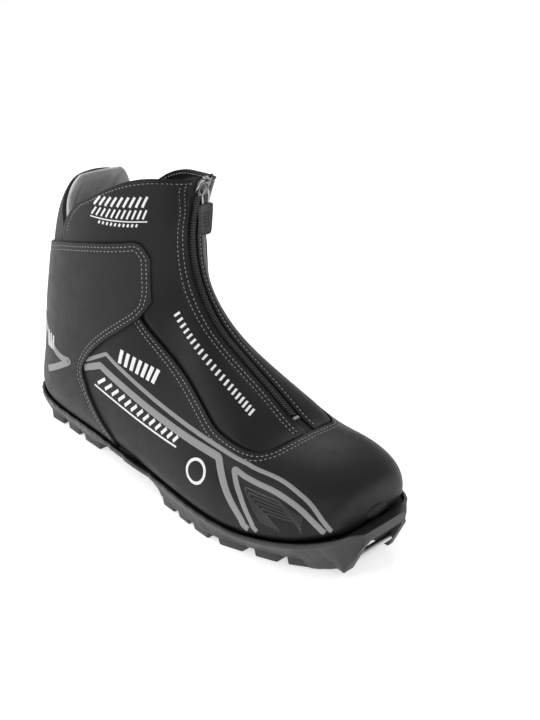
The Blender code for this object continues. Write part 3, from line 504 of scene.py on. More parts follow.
def ranged(tree, value, low, high, out_low, out_high):
    """Value carried from one range to another."""
    made = node(tree, "ShaderNodeMapRange", **{"From Min": low, "From Max": high, "To Min": out_low,
                                               "To Max": out_high})
    link(tree, value, made.inputs["Value"])
    return made.outputs["Result"]


def mixed(tree, first, second, share):
    """Colour between two, the first of which may be a socket."""
    made = node(tree, "ShaderNodeMix", data_type="RGBA", B=second)
    if isinstance(first, tuple):
        made.inputs["A"].default_value = first
    else:
        tree.links.new(first, made.inputs["A"])
    link(tree, share, made.inputs["Factor"])
    return made.outputs["Result"]


def tint(value):
    """Colour from a grey value, or from three."""
    return (*value, 1.0) if isinstance(value, tuple) else (value, value, value * 1.02, 1.0)


def surface(name, group, scale, dark, light, rough, bump, metallic=0.0, wear=None, sheen=0.0, coat=0.0,
            specular=0.5, depth=0.0002):
    """Material from one pattern group: its tone drives colour, its polish roughness, its height relief."""
    made = bpy.data.materials.new(name)
    made.use_nodes = True
    tree = made.node_tree
    pattern = tree.nodes.new("ShaderNodeGroup")
    pattern.node_tree = group
    pattern.inputs[0].default_value = scale
    tone = pattern.outputs["Tone"]
    colour = mixed(tree, tint(dark), tint(light), ranged(tree, tone, 0.3, 0.7, 0.0, 1.0))
    if wear:
        edge = tree.nodes.new("ShaderNodeGroup")
        edge.node_tree = bpy.data.node_groups["edge_wear"]
        colour = mixed(tree, colour, tint(wear), edge.outputs["Mask"])
    polish = pattern.outputs["Polish"] if "Polish" in pattern.outputs else tone
    relief = node(tree, "ShaderNodeBump", Strength=bump, Distance=depth)
    link(tree, pattern.outputs["Height"], relief.inputs["Height"])
    shader = tree.nodes["Principled BSDF"]
    settings = {"Base Color": colour, "Roughness": ranged(tree, polish, 0.3, 0.7, *rough),
                "Normal": relief.outputs["Normal"], "Metallic": metallic, "Specular IOR Level": specular,
                "Sheen Weight": sheen, "Sheen Roughness": 0.45, "Coat Weight": coat, "Coat Roughness": 0.25}
    for label, value in settings.items():
        link(tree, value, shader.inputs[label])
    return made


LOOKS = {}


def make_looks(colours):
    """Every finish of the boot, by name."""
    grain = grain_group()
    weave = weave_group()
    pile = pile_group()
    mould = mould_group()
    edge_group()
    upper = colours.upper
    fleece = colours.fleece
    sole = colours.sole
    thread = colours.thread
    stripe = colours.stripe
    mark = colours.mark
    rows = {
        "vamp": ("vamp_leather", grain, 1300, upper * 0.85, upper * 1.15, (0.38, 0.52), 0.16),
        "overlay": ("overlay_leather", grain, 1300, upper * 1.1, upper * 1.4, (0.42, 0.56), 0.16),
        "cover": ("padded_cover", grain, 1500, upper * 0.75, upper, (0.38, 0.52), 0.14),
        "webbing": ("ribbed_webbing", weave, 900, 0.010, 0.022, (0.75, 0.9), 0.5),
        "tape": ("zip_tape", weave, 1300, 0.008, 0.018, (0.75, 0.9), 0.4),
        "fleece": ("grey_fleece", pile, 900, fleece * 0.8, fleece * 1.15, (0.85, 1.0), 0.7),
        "board": ("fibre_board", pile, 300, (0.26, 0.22, 0.17), (0.34, 0.30, 0.23), (0.85, 0.95), 0.3),
        "sole": ("sole_rubber", mould, 1500, sole * 0.85, sole * 1.15, (0.45, 0.62), 0.18),
        "rim": ("rim_rubber", mould, 1500, 0.012, 0.02, (0.28, 0.42), 0.10),
        "teeth": ("zip_teeth", mould, 2500, 0.014, 0.024, (0.3, 0.42), 0.1),
        "slider": ("slider_metal", mould, 900, 0.06, 0.10, (0.25, 0.4), 0.06),
        "link": ("link_metal", mould, 900, 0.35, 0.5, (0.2, 0.35), 0.05),
        "bar": ("bar_steel", mould, 600, 0.5, 0.66, (0.2, 0.34), 0.05),
        "grip": ("pull_rubber", mould, 1800, 0.018, 0.026, (0.42, 0.58), 0.1),
        "thread": ("stitch_thread", weave, 3000, thread * 0.8, thread * 1.2, (0.6, 0.8), 0.3),
        "bright thread": ("bartack_thread", weave, 3000, 0.4, 0.6, (0.6, 0.8), 0.3),
        "stripe": ("stripe_print", mould, 2600, stripe * 0.92, stripe * 1.08, (0.4, 0.55), 0.08),
        "mark": ("mark_print", mould, 2600, mark * 0.95, mark * 1.03, (0.42, 0.55), 0.06),
        "tone": ("tone_print", mould, 2600, upper * 1.9, upper * 2.3, (0.3, 0.42), 0.08)}
    extras = {
        "vamp": {"specular": 0.2}, "cover": {"specular": 0.2},
        "overlay": {"specular": 0.25, "wear": upper * 2.6},
        "webbing": {"sheen": 0.15}, "tape": {"sheen": 0.1}, "fleece": {"sheen": 0.35, "depth": 0.0005},
        "sole": {"wear": sole * 2.2}, "rim": {"coat": 0.15}, "slider": {"metallic": 0.9, "wear": 0.45},
        "link": {"metallic": 1.0}, "bar": {"metallic": 1.0}}
    for name, row in rows.items():
        LOOKS[name] = surface(*row, **extras.get(name, {}))


# ---------------------------------------------------------------- upper

def overlay_edge():
    """Outline of the heel overlay over the lateral side, top edge first, round its front to the sole."""
    fold = np.linspace(180.0, 38.5, 90)
    top = np.stack([OVERLAY_TOP(fold), fold], 1)
    low = OVERLAY_FRONT[(OVERLAY_FRONT[:, 0] > 38.5) & (OVERLAY_FRONT[:, 0] < 112)][:, ::-1]
    front = np.array([(0.84, 38.0), (0.81, 38.0), (0.785, 38.0)])
    return np.vstack([top, front, low])


def panel_seams(offsets, path):
    """Stitch rows at distances inside a panel's edge."""
    return [shifted(dense(path, 2.0)[0], d) for d in offsets]


ON_OVERLAY = 1.7                           # how far the overlay's face stands over the last
ON_COVER = 0.2                             # the same for the covers where they are printed
PRINT = 0.05                               # how far a mark on the overlay stands over its face
COVER_WALL = 1.9
OVERLAY_SEAMS = panel_seams((2.6, 5.4), rounded(overlay_edge(), 2))
VAMP_SEAMS = panel_seams((2.2, 4.8), VAMP_PATH[VAMP_PATH[:, 0] < 0.765][::-1])


def collar_edge(side):
    """Top and rear edge of a cover, from the zip round to the overlay."""
    fold = np.linspace(13 if side < 0 else 9, 101, 50)
    edge = np.stack([COVER_TOP[side](fold), fold], 1)
    return np.vstack([edge, [(0.991, 107.5), (0.976, 111.5), (0.963, 112.0)]])


def hem(side):
    """Stitch row along a cover's top and rear edge."""
    return shifted(collar_edge(side), -1.9)


ZIP_STATIONS = np.linspace(0.352, 0.994, 90)


def strip_width(station, side):
    """Distance of a cover's front edge from the zip line: it opens out near the collar."""
    return STRIP + (5.5 if side < 0 else 1.5) * settle(0.91, 1.0, station)


def zip_seams(side):
    """The stitch rows beside the zip, on one side."""
    rows = (2.6, 5.6) if side < 0 else (2.4,)
    found = []
    for row in rows:
        width = strip_width(ZIP_STATIONS, side) + row
        found.append(np.stack([ZIP_STATIONS, angle_at_width(ZIP_STATIONS, width, side)], 1))
    return found


def make_vamp(sizes):
    """Vamp and quarters: whole over the toe, two wings behind the throat."""
    mesh = bmesh.new()
    back = rounded([(0.59, 156), (0.61, 146), (0.63, 137), (0.655, 122), (0.67, 113), (0.695, 105),
                    (0.722, 99), (0.745, 97), (0.78, 93)])
    seams = [s * (1, m) for s in VAMP_SEAMS for m in (-1, 1)]

    def foot(station):
        edge = angle_at_height(station, 1.2)
        return np.where(station > 0.60, np.minimum(edge, np.interp(station, *back.T)), edge)

    def on_skin(station, angle):
        points = skin(station, angle)
        return skin(station, angle, seam_dip(points, seams, sizes.dip / MM))

    def front(u, v):
        station = THROAT * v ** TOE_EASE
        side = 2 * u - 1
        return on_skin(station, side * foot(station))
    mapped_grid(mesh, 160, 90, front)
    rows = np.concatenate([np.linspace(THROAT, 0.352, 12)[:-1], np.linspace(0.352, 0.40, 16)[:-1],
                           np.linspace(0.40, 0.78, 84)])
    for side in (-1, 1):
        def wing(u, v, side=side):
            station = np.interp(v, np.linspace(0, 1, len(rows)), rows)
            gap = vamp_edge(station)
            share = 1 - u if side < 0 else u
            return on_skin(station, side * (gap + (foot(station) - gap) * share))
        mapped_grid(mesh, 80, len(rows) - 1, wing)
    bmesh.ops.remove_doubles(mesh, verts=mesh.verts[:], dist=0.00003)
    add_piece("vamp_and_quarters", mesh, LOOKS["vamp"],
              stands_for=["vamp_and_quarters", "toe_puff", "heel_counter"], wall=sizes.leather / MM,
              edge=0.35, turn=False)
    cap = bmesh.new()

    def nose(u, v):
        angle = (2 * u - 1) * 180.0
        station = np.full(u.shape, 0.0012)
        ring = skin(station, angle)
        spread = np.sin(v * math.pi / 2)[:, None]
        proud = 1.6 * np.cos(v * math.pi / 2)
        return NOSE + (ring - NOSE) * spread + np.stack([proud, v * 0, v * 0], 1)
    mapped_grid(cap, 64, 10, nose)
    add_piece("toe_nose", cap, LOOKS["vamp"])


def make_overlay(sizes):
    """Ankle and heel overlay in one piece."""
    mesh = bmesh.new()
    seams = [s * (1, m) for s in OVERLAY_SEAMS for m in (-1, 1)]

    def mapping(u, v):
        angle = -322.0 + 284.0 * u
        fold = folded(angle)
        low = overlay_low(fold)
        station = low + (OVERLAY_TOP(fold) - low) * v
        points = skin(station, angle)
        return skin(station, angle, seam_dip(points, seams, sizes.dip / MM) - ON_OVERLAY)
    mapped_grid(mesh, 230, 84, mapping)
    add_piece("heel_overlay", mesh, LOOKS["overlay"], stands_for=["heel_overlay"],
              wall=1.5, edge=0.45, turn=False)


def make_cover(side, name, sizes):
    """Padded cover from the zip back under the overlay and the vamp."""
    mesh = bmesh.new()
    seams = zip_seams(side) + [hem(side) * (1, side)]

    def mapping(u, v):
        base = 0.318 + (1.0 - 0.318) * v
        back = COVER_BACK(base)
        front = np.abs(angle_at_width(base, strip_width(base, side), side))
        share = 1 - u if side > 0 else u
        fold = back + (front - back) * share
        lift = np.maximum(base - 0.93, 0.0) / 0.07
        station = base + (COVER_TOP[side](fold) - 1.0) * lift
        beyond = settle(-3.4, 0.4, fold - vamp_edge(np.minimum(station, 0.79)))
        beyond = beyond * settle(0.795, 0.775, station)
        throat = settle(0.008, 0.001, station - throat_station(fold)) * (station < 0.36)
        points = skin(station, side * fold)
        puff = 0.7 * settle(0.0, 5.0, np.abs(points[:, 1]) - STRIP) * settle(0.36, 0.45, station)
        depth = 0.55 - puff * (1 - beyond) + 2.0 * np.maximum(beyond, throat)
        return skin(station, side * fold, depth + seam_dip(points, seams, 1.4 * sizes.dip / MM))
    mapped_grid(mesh, 64, 220, mapping)
    add_piece(name, mesh, LOOKS["cover"], stands_for=[name], wall=COVER_WALL, edge=0.6,
              turn=False)


def make_heel_tab():
    """Webbing strip up the heel."""
    mesh = bmesh.new()

    def mapping(u, v):
        angle = -244.7 + 129.4 * u
        fold = folded(angle)
        low = OVERLAY_TOP(fold) - 0.012
        station = low + (TAB_TOP(fold) - 0.007 - low) * v
        return skin(station, angle, 0.3)
    mapped_grid(mesh, 90, 50, mapping)
    add_piece("heel_tab", mesh, LOOKS["webbing"], stands_for=["heel_tab"], wall=1.9, edge=0.5,
              turn=False)


def make_stitching(sizes):
    """Stitch rows on the overlay, the vamp's edge, the zip and the collar."""
    dip = sizes.dip / MM
    size = (sizes.stitch_pitch / MM, sizes.stitch_length / MM, sizes.thread / MM)
    on_overlay = dip - ON_OVERLAY - PRINT
    rows = {"overlay_stitches": [(s * (1, m), on_overlay) for s in OVERLAY_SEAMS for m in (-1, 1)],
            "vamp_stitches": [(s * (1, m), dip - 0.1) for s in VAMP_SEAMS for m in (-1, 1)],
            "zip_stitches": [(s, dip) for side in (-1, 1) for s in zip_seams(side)],
            "collar_stitches": [(hem(m) * (1, m), dip) for m in (-1, 1)]}
    for name, paths in rows.items():
        mesh = bmesh.new()
        for path, depth in paths:
            thread_row(mesh, path, depth, *size)
        add_piece(name, mesh, LOOKS["thread"], turn=False, crease=80.0)
    mesh = bmesh.new()
    thread_row(mesh, hem(1), COVER_WALL + 0.7, *size, inside=True)
    add_piece("collar_inner_stitches", mesh, LOOKS["thread"], turn=False, crease=80.0)
    tacks = bmesh.new()
    for side in (-1, 1):
        for k in range(5):
            near = angle_at_width(np.array([1.003]), 1.5 + k * 0.7, side)[0]
            far = angle_at_width(np.array([0.985]), 3.2 + k * 0.4, side)[0]
            swept(tacks, np.array([(1.000 + 0.001 * k, near), (0.982 - 0.002 * k, far)]),
                  [(-0.3, -0.1), (0.0, -0.45), (0.3, -0.1), (0.0, 0.2)])
    add_piece("zip_bartacks", tacks, LOOKS["bright thread"])


# ---------------------------------------------------------------- prints

UPPER_STRIPE = [[(0.752, -84), (0.738, -71), (0.495, -54), (0.370, -44.5)],
                [(0.370, -44.5), (0.290, -43.0), (0.215, -46.5), (0.130, -58), (0.064, -93)]]
LOWER_STRIPE = [[(0.744, -86), (0.730, -77), (0.520, -62), (0.442, -56), (0.415, -63)],
                [(0.415, -63), (0.370, -75), (0.325, -87), (0.300, -95)]]
INNER_V = [[(0.275, -95), (0.335, -71), (0.392, -53.5), (0.330, -54)],
           [(0.330, -54), (0.240, -56), (0.150, -66), (0.085, -94)]]
HEEL_BAND = [(0.870, -143), (0.765, -92), (0.782, -118)]
SIDE_BLOCK = [(0.735, -63.5), (0.655, -50.0), (0.640, -57.5), (0.715, -68.0)]
LONG_BLOCK = [(0.720, -80.0), (0.545, -66.5), (0.540, -72.5), (0.715, -86.0)]
ZIP_BLOCK = [(0.730, -24.0), (0.465, -17.0), (0.455, -22.0), (0.725, -28.0)]
CUFF_BLOCK = [(1.010, -88.0), (0.988, -46.0), (0.922, -42.0), (0.972, -88.0)]
HEEL_BLOCK = [(0.852, -134.0), (0.822, -114.0), (0.800, -110.0), (0.818, -124.0)]
RING_AT = (0.475, -75.5)
RING_SIZE = (0.024, 8.0)


def cornered(points, radius=2.0):
    """Path with crisp corners of a small radius, in millimetres on the upper."""
    return rounded(dense(np.array(points, float), radius)[0], 2)


def stripe_path(parts):
    """A crisp part followed by a smooth one."""
    return np.vstack([cornered(parts[0])[:-1], rounded(parts[1], 4)])


def in_block(corners, across, down):
    """Place inside a four-cornered block, by shares across and down."""
    a, b, c, d = np.array(corners, float)
    return (a + (b - a) * across) * (1 - down) + (d + (c - d) * across) * down


def bar_row(mesh, corners, down, count, width, lean, deepen=0.0, skip=()):
    """Row of slanted bars inside a block, between two shares of its height."""
    for k in range(count):
        if k in skip:
            continue
        across = (k + 0.5) / count
        path = np.array([in_block(corners, across + lean, down[0]),
                         in_block(corners, across - lean, down[1])])
        swept(mesh, path, strip_ring(width), deepen)


def rule(mesh, corners, down, width, deepen=0.0):
    """Plain line across a block at a share of its height."""
    path = np.array([in_block(corners, k / 8, down) for k in range(9)])
    swept(mesh, path, strip_ring(width), deepen)


def make_prints():
    """Grey stripes, plain white marks and tone-on-tone chevrons, on both sides."""
    for side, name in ((-1, "lateral"), (1, "medial")):
        flip = np.array((1, -side))
        stripes = bmesh.new()
        swept(stripes, stripe_path(UPPER_STRIPE) * flip, strip_ring(2.7))
        swept(stripes, stripe_path(LOWER_STRIPE) * flip, strip_ring(4.6))
        swept(stripes, stripe_path(INNER_V) * flip, strip_ring(3.3))
        add_piece("stripes_" + name, stripes, LOOKS["stripe"], crease=60.0)
        band = bmesh.new()
        swept(band, cornered(HEEL_BAND) * flip, strip_ring(4.6), -ON_OVERLAY - PRINT)
        add_piece("heel_band_" + name, band, LOOKS["stripe"], crease=60.0)
        tones = bmesh.new()
        for k in range(6):
            shift = 0.010 * k
            drop = 3.2 * k
            swept(tones, cornered([(0.262 - shift, -87 - drop * 0.2), (0.338 - 1.6 * shift, -61.5 - drop),
                                   (0.232 - 1.3 * shift, -64 - drop), (0.150, -75 - drop)]) * flip,
                  strip_ring(0.8, 0.05))
        add_piece("tone_chevrons_" + name, tones, LOOKS["tone"], crease=60.0)
    marks = bmesh.new()
    bar_row(marks, SIDE_BLOCK, (0.04, 0.96), 7, 3.2, 0.03)
    bar_row(marks, LONG_BLOCK, (0.0, 0.72), 13, 2.3, 0.02)
    rule(marks, LONG_BLOCK, 1.05, 1.2)
    bar_row(marks, ZIP_BLOCK, (0.0, 1.0), 21, 1.6, 0.008, -ON_COVER)
    turns = np.linspace(0, 2 * math.pi, 25)
    ring = np.array(RING_AT) + np.stack([RING_SIZE[0] * np.cos(turns), RING_SIZE[1] * np.sin(turns)], 1)
    swept(marks, ring, strip_ring(1.9))
    bar_row(marks, CUFF_BLOCK, (0.0, 0.36), 9, 1.5, 0.035, -ON_COVER)
    bar_row(marks, CUFF_BLOCK, (0.46, 0.76), 11, 1.2, 0.03, -ON_COVER)
    rule(marks, CUFF_BLOCK, 0.85, 0.8, -ON_COVER)
    bar_row(marks, CUFF_BLOCK, (0.93, 1.03), 14, 1.2, 0.01, -ON_COVER, skip=(0, 1, 12, 13))
    bar_row(marks, HEEL_BLOCK, (0.0, 1.0), 4, 1.8, 0.05, -ON_OVERLAY - PRINT)
    add_piece("plain_marks", marks, LOOKS["mark"], crease=60.0)


# ---------------------------------------------------------------- collar and inside

COLLAR_LOW = 0.86
COLLAR_INNER = 8.2                         # depths of the roll's inner and outer faces
COLLAR_OUTER = 2.6
FOLD_DEPTH = 0.75
LINING_FOOT = 4.5                          # depths of the lining round the foot and in the cuff
LINING_CUFF = 6.9
TONGUE_DEPTH = 10.0
TONGUE_HALF = 38.0                         # half angle that the tongue covers


def make_collar():
    """Fleece-faced padded collar behind the ankle, rolled over the heel tab, with soft upright folds."""
    mesh = bmesh.new()

    def mapping(u, v):
        angle = -262.0 + 164.0 * u
        fold = folded(angle)
        top = np.minimum(TAB_TOP(np.maximum(fold, 105.0)) + 0.004, LAST_TOP - 0.006)
        ring = v * 2 * math.pi
        share = 0.5 - 0.5 * np.sign(np.cos(ring)) * np.abs(np.cos(ring)) ** 0.7
        station = COLLAR_LOW + (top - COLLAR_LOW) * share
        inner = COLLAR_INNER - 1.2 * settle(0.8, 1.0, share)
        outer = COLLAR_OUTER * (1.0 - settle(0.93, 0.99, share) * settle(104.0, 116.0, fold))
        lie = np.sin(ring)
        blend = 0.5 + 0.5 * np.sign(lie) * np.abs(lie) ** 0.8
        rumple = np.sin(np.radians(angle) * 17.0) + 0.7 * np.sin(np.radians(angle) * 29.0 + 1.0) \
            + 0.4 * np.sin(np.radians(angle) * 47.0 + station * 30.0)
        fall = settle(0.15, 0.5, share) * settle(1.02, 0.80, share) * settle(0.5, 1.0, blend)
        return skin(station, angle, outer + (inner - outer) * blend + FOLD_DEPTH * rumple * fall)
    mapped_grid(mesh, 200, 110, mapping)
    closed(mesh, 2 * MERGE)
    pad = add_piece("padded_collar", mesh, LOOKS["fleece"],
                    stands_for=["collar_facing", "collar_pad"], crease=80.0)


def make_inside():
    """Lining, tongue, eyestays and the boards under the foot."""
    mesh = bmesh.new()
    heel = eased([(0.66, 0), (0.70, 128), (0.72, 137), (0.735, 147), (0.75, 161), (0.765, 180)])

    def lining(station, share, side):
        low = np.where(station > 0.66, np.maximum(angle_at_height(station, 8.5), heel(station)),
                       angle_at_height(station, 8.5))
        gap = 42.0 * np.sqrt(np.clip((station - 0.44) / 0.06, 0.0, 1.0))
        depth = LINING_FOOT + (LINING_CUFF - LINING_FOOT) * settle(0.76, 0.90, station)
        return skin(station, side * (gap + (np.minimum(low, 180.0) - gap) * share), depth)
    for side in (-1, 1):
        def half(u, v, side=side):
            return lining(0.02 + 0.975 * v, 1 - u if side < 0 else u, side)
        mapped_grid(mesh, 60, 150, half)
    add_piece("foot_lining", mesh, LOOKS["fleece"], stands_for=["lining"], wall=0.9,
              turn=False)
    mesh = bmesh.new()

    def tongue(u, v):
        ring = v * 2 * math.pi
        share = 0.5 - 0.5 * np.cos(ring)
        station = 0.50 + 0.475 * u
        half = 1.6 * np.abs(np.sin(ring)) ** 0.4 * np.sign(np.sin(ring))
        half = half * (0.35 + 0.65 * settle(0.0, 0.05, np.minimum(u, 1 - u)))
        return skin(station, TONGUE_HALF * (2 * share - 1), TONGUE_DEPTH + half)
    mapped_grid(mesh, 110, 60, tongue)
    closed(mesh, 2 * MERGE)
    pad = add_piece("tongue", mesh, LOOKS["tape"], stands_for=["tongue"], crease=80.0)
    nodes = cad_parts
    dressed = {"footbed": "fleece", "insole_board": "board", "shank": "bar",
               "eyestay_lateral": "webbing", "eyestay_medial": "webbing", "top_stop_lateral": "slider",
               "top_stop_medial": "slider", "bottom_stop": "slider"}
    dressed.update({name: "webbing" for name in nodes if name.startswith("lace_loop")})
    for name, looks in dressed.items():
        for holder in nodes[name].material_slots:
            holder.material = LOOKS[looks]


# ---------------------------------------------------------------- zip

TOOTH_PITCH = 1.7
TOOTH = (0.95, 2.5, 2.0)                   # along the zip, across it and out of it


def make_zip():
    """Tapes and two rows of moulded teeth."""
    for side, name in ((-1, "lateral"), (1, "medial")):
        tape = bmesh.new()

        def mapping(u, v, side=side):
            station = 0.325 + 0.678 * v
            reach = 10.4 + 5.0 * settle(0.90, 1.0, station)
            width = 0.6 + reach * (1 - u if side < 0 else u)
            return skin(station, angle_at_width(station, width, side), 2.6)
        mapped_grid(tape, 12, 170, mapping)
        add_piece("zip_tape_" + name, tape, LOOKS["tape"], stands_for=["zip_tape_" + name],
                  wall=0.5, turn=False)
        teeth = bmesh.new()
        first = 3.0 + (0.5 * TOOTH_PITCH if side > 0 else 0.0)
        for k in range(int((ZIP_LENGTH - 13.0) / TOOTH_PITCH)):
            run = first + k * TOOTH_PITCH
            x, z = zip_point(run, 1.25)
            ahead_x, ahead_z = zip_point(run + 0.1, 1.25)
            way = Vector((ahead_x - x, 0.0, ahead_z - z)).normalized()
            out = Vector((-way.z, 0.0, way.x))
            if out.dot(Vector((ZIP_CENTRE[0] - x, 0.0, ZIP_CENTRE[1] - z))) < 0:
                out = -out
            turn = Matrix((way * TOOTH[0], Vector((0, TOOTH[1], 0)), out * TOOTH[2])).transposed()
            spot = Matrix.Translation(Vector(place((x, side * 1.0, z)))) @ (turn * MM).to_4x4()
            bmesh.ops.create_cube(teeth, size=1.0, matrix=spot)
        add_piece("zip_teeth_" + name, teeth, LOOKS["teeth"], stands_for=["zip_teeth_" + name],
                  edge=0.22)


def slider_frame(along, out, y=0.0):
    """Point near the slider: along is up the zip, out is away from the foot."""
    degrees = SLIDER_AT - math.degrees(along / ZIP_RADIUS)
    x, z = on_arc(degrees, -out)
    return np.array([x, y, z])


def make_slider():
    """Slider: two plates joined by flanges, with an arched crown."""
    mesh = bmesh.new()
    outline = [(-5.4, 2.6), (-3.0, 3.3), (1.5, 3.8), (4.2, 3.9), (5.4, 3.0), (5.7, 1.2)]
    outline = outline + [(a, -y) for a, y in reversed(outline)]
    for low, high in ((0.2, 1.25), (-2.0, -1.5)):
        rings = []
        for out in (low, high):
            rings.append([mesh.verts.new(place(slider_frame(a, out, y))) for a, y in outline])
        base = mesh.faces.new(rings[0])
        top = mesh.faces.new(rings[1])
        edges = list(base.edges) + list(top.edges)
        bmesh.ops.bridge_loops(mesh, edges=edges)
    for side in (-1, 1):
        corners = []
        for a in (-3.2, 3.6):
            for y in (2.95, 3.7):
                corners += [mesh.verts.new(place(slider_frame(a, out, side * y))) for out in (-1.9, 0.9)]
        bmesh.ops.convex_hull(mesh, input=corners)
    bmesh.ops.recalc_face_normals(mesh, faces=mesh.faces[:])
    add_piece("zip_slider", mesh, LOOKS["slider"], body="slider", stands_for=["zip_slider"],
              edge=0.25)
    crown = bmesh.new()
    turns = np.radians(np.linspace(180, 0, 15))

    def mapping(u, v):
        turn = np.interp(u, np.linspace(0, 1, 15), turns)
        ring = v * 2 * math.pi
        along = 3.5 * np.cos(turn) + 0.55 * np.cos(ring) * np.cos(turn)
        out = 0.9 + (2.7 * np.sin(turn)) + 0.55 * np.cos(ring) * np.sin(turn)
        y = 1.25 * np.sin(ring)
        return np.stack([slider_frame(a, o, w) for a, o, w in zip(along, out, y)])
    mapped_grid(crown, 28, 12, mapping)
    closed(crown)
    add_piece("slider_crown", crown, LOOKS["slider"], body="slider", crease=60.0)


PULL_PIVOT = slider_frame(0.9, 2.15)


def make_puller():
    """Metal link and moulded grip, hanging from the crown."""
    corners = [(-2.6, 0.2), (2.6, 0.2), (2.7, 6.0), (1.7, 14.2), (-1.7, 14.2), (-2.7, 6.0), (-2.6, 0.2)]
    path = rounded(np.array(corners), 2)
    path = np.vstack([path[1:-1], path[1:2]])
    run = np.gradient(path, axis=0)
    side = np.stack([run[:, 1], -run[:, 0]], 1)
    side /= np.linalg.norm(side, axis=1)[:, None]
    mesh = bmesh.new()

    def mapping(u, v):
        i = np.rint(u * (len(path) - 1)).astype(int)
        ring = v * 2 * math.pi
        y = path[i, 0] + side[i, 0] * 0.55 * np.cos(ring)
        drop = path[i, 1] + side[i, 1] * 0.55 * np.cos(ring)
        return PULL_PIVOT + np.stack([0.45 * np.sin(ring), y, -drop], 1)
    mapped_grid(mesh, len(path) - 1, 10, mapping)
    add_piece("pull_link", mesh, LOOKS["link"], body="puller", stands_for=["pull_link"],
              crease=80.0)
    tab = bmesh.new()
    outline = rounded([(0.0, 9.2), (-4.6, 9.2), (-5.5, 10.4), (-4.2, 26.6), (-3.0, 28.6), (0.0, 28.6),
                       (3.0, 28.6), (4.2, 26.6), (5.5, 10.4), (4.6, 9.2), (0.0, 9.2)], 2)[:-1]
    rings = []
    for out in (-1.3, 1.3):
        loop = [tab.verts.new(place(PULL_PIVOT + (out, y, -drop))) for y, drop in outline]
        rings.append(tab.faces.new(loop))
    bmesh.ops.bridge_loops(tab, edges=[e for f in rings for e in f.edges])
    for face in rings:
        bmesh.ops.inset_region(tab, faces=[face], thickness=0.9 * MM, depth=-0.35 * MM)
    bmesh.ops.recalc_face_normals(tab, faces=tab.faces[:])
    add_piece("pull_tab", tab, LOOKS["grip"], body="puller", stands_for=["pull_tab"],
              edge=0.3)
    dots = bmesh.new()
    for row in range(5):
        for column in (-1, 0, 1):
            for out in (-0.95, 0.95):
                spot = Vector(place(PULL_PIVOT + (out, column * 1.7, -15.0 - row * 2.0)))
                bmesh.ops.create_icosphere(dots, subdivisions=2, radius=0.5 * MM,
                                           matrix=Matrix.Translation(spot))
    add_piece("pull_tab_dots", dots, LOOKS["grip"], body="puller", crease=80.0)


# ---------------------------------------------------------------- sole
# Heights along the foot (x, z): the rim's line, the face between the lugs and the cup's floor

FEATHER = eased([(-17, 27.0), (0, 25.0), (30, 23.5), (60, 23.5), (100, 24.0), (150, 22.5), (200, 21.5),
                 (230, 22.5), (250, 25.0), (268, 28.0), (281, 30.0), (290, 31.0)])
BASE = eased([(-17, 21.0), (-12, 15.5), (-6, 10.0), (0, 6.6), (8, 5.2), (18, 5.1), (30, 5.0),
              (62, 5.5), (80, 8.0), (105, 10.5), (130, 9.0), (150, 6.0), (200, 5.0), (262, 6.5),
              (290, 8.0)])
CUP_FLOOR = eased([(-17, 14.0), (-5, 13.0), (45, 12.3), (100, 12.3), (148, 11.9), (188, 10.6),
                   (220, 11.0), (246, 14.4), (266, 20.4), (276, 23.6), (283, 25.4), (290, 27.0)])
HEEL_LUGS = [(-3, 12), (18, 34), (41, 62)]
FORE_LUGS = [(147, 160), (165, 177), (182, 197), (205, 222), (229, 244), (249, 262)]
NOSE_X = 290.0
EAR_FRONT = 280.6
RECESS_X = 265.0
EAR_GAP = 15.8
GROOVE = (10.0, 16.3)
TREAD_LEAST = 21.0
WALL_LEAN = 0.06
WALL_TOP = 3.3
CUP_SLACK = 0.8
FLOOR_WALL = 1.6
LUG_TAPER = 0.93
TREAD_INSET = np.array([(-17, 9.0), (0, 11.0), (16, 12.5), (57, 12.0), (80, 16.0), (105, 19.0),
                        (128, 15.0), (147, 7.5), (196, 7.5), (206, 9.0), (221, 13.5), (243, 17.5),
                        (262, 21.0), (275, 21.0), (281, 11.0), (285, 5.5), (290, 0.0)])


def tread(x):
    """Height of the lugs' faces."""
    return np.interp(x, [-17, -6, 6, 240, 262, 278], [2.5, 1.0, 0.0, 0.0, 1.2, 3.2])


def foot_face():
    """Places on the lower part of the upper's outer face."""
    stations = np.repeat(np.arange(0.0, 0.86, 0.004), 90)
    angles = np.tile(np.linspace(92.0, 268.0, 90), len(stations) // 90)
    return skin_point(stations, np.where(angles <= 180, angles, angles - 360))


FACE = foot_face()
FOOT = FACE[FACE[:, 2] < FEATHER(FACE[:, 0]) + 1.0][:, :2]


def half_width(x, side, margin):
    """Half width of the foot's outline grown by a margin, smoothed over a few millimetres."""
    reach = []
    for shift in (-2.5, 0.0, 2.5):
        near = np.abs(FOOT[None, :, 0] - (x + shift)[:, None])
        grown = FOOT[None, :, 1] * side + np.sqrt(np.maximum(margin ** 2 - near ** 2, 0.0))
        reach.append(np.where(near < margin, grown, -1e9).max(1))
    return np.max(reach, axis=0)


def underside(x, side, width):
    """Height of the foot's lower face at a distance from the middle."""
    near = (np.abs(FACE[:, 0] - x) < 4.0) & (np.abs(FACE[:, 1] * side - width) < 2.0)
    return float(np.min(FACE[near][:, 2])) if near.any() else 1e3


def cup_gap(x):
    """Clearance between the foot and the cup, wider behind the shank."""
    return 0.8 + 1.7 * np.clip((142.0 - x) / 18.0, 0.0, 1.0)


def tread_inset(x):
    """How far the tread's side lies inside the rim."""
    return np.interp(x, *TREAD_INSET.T)


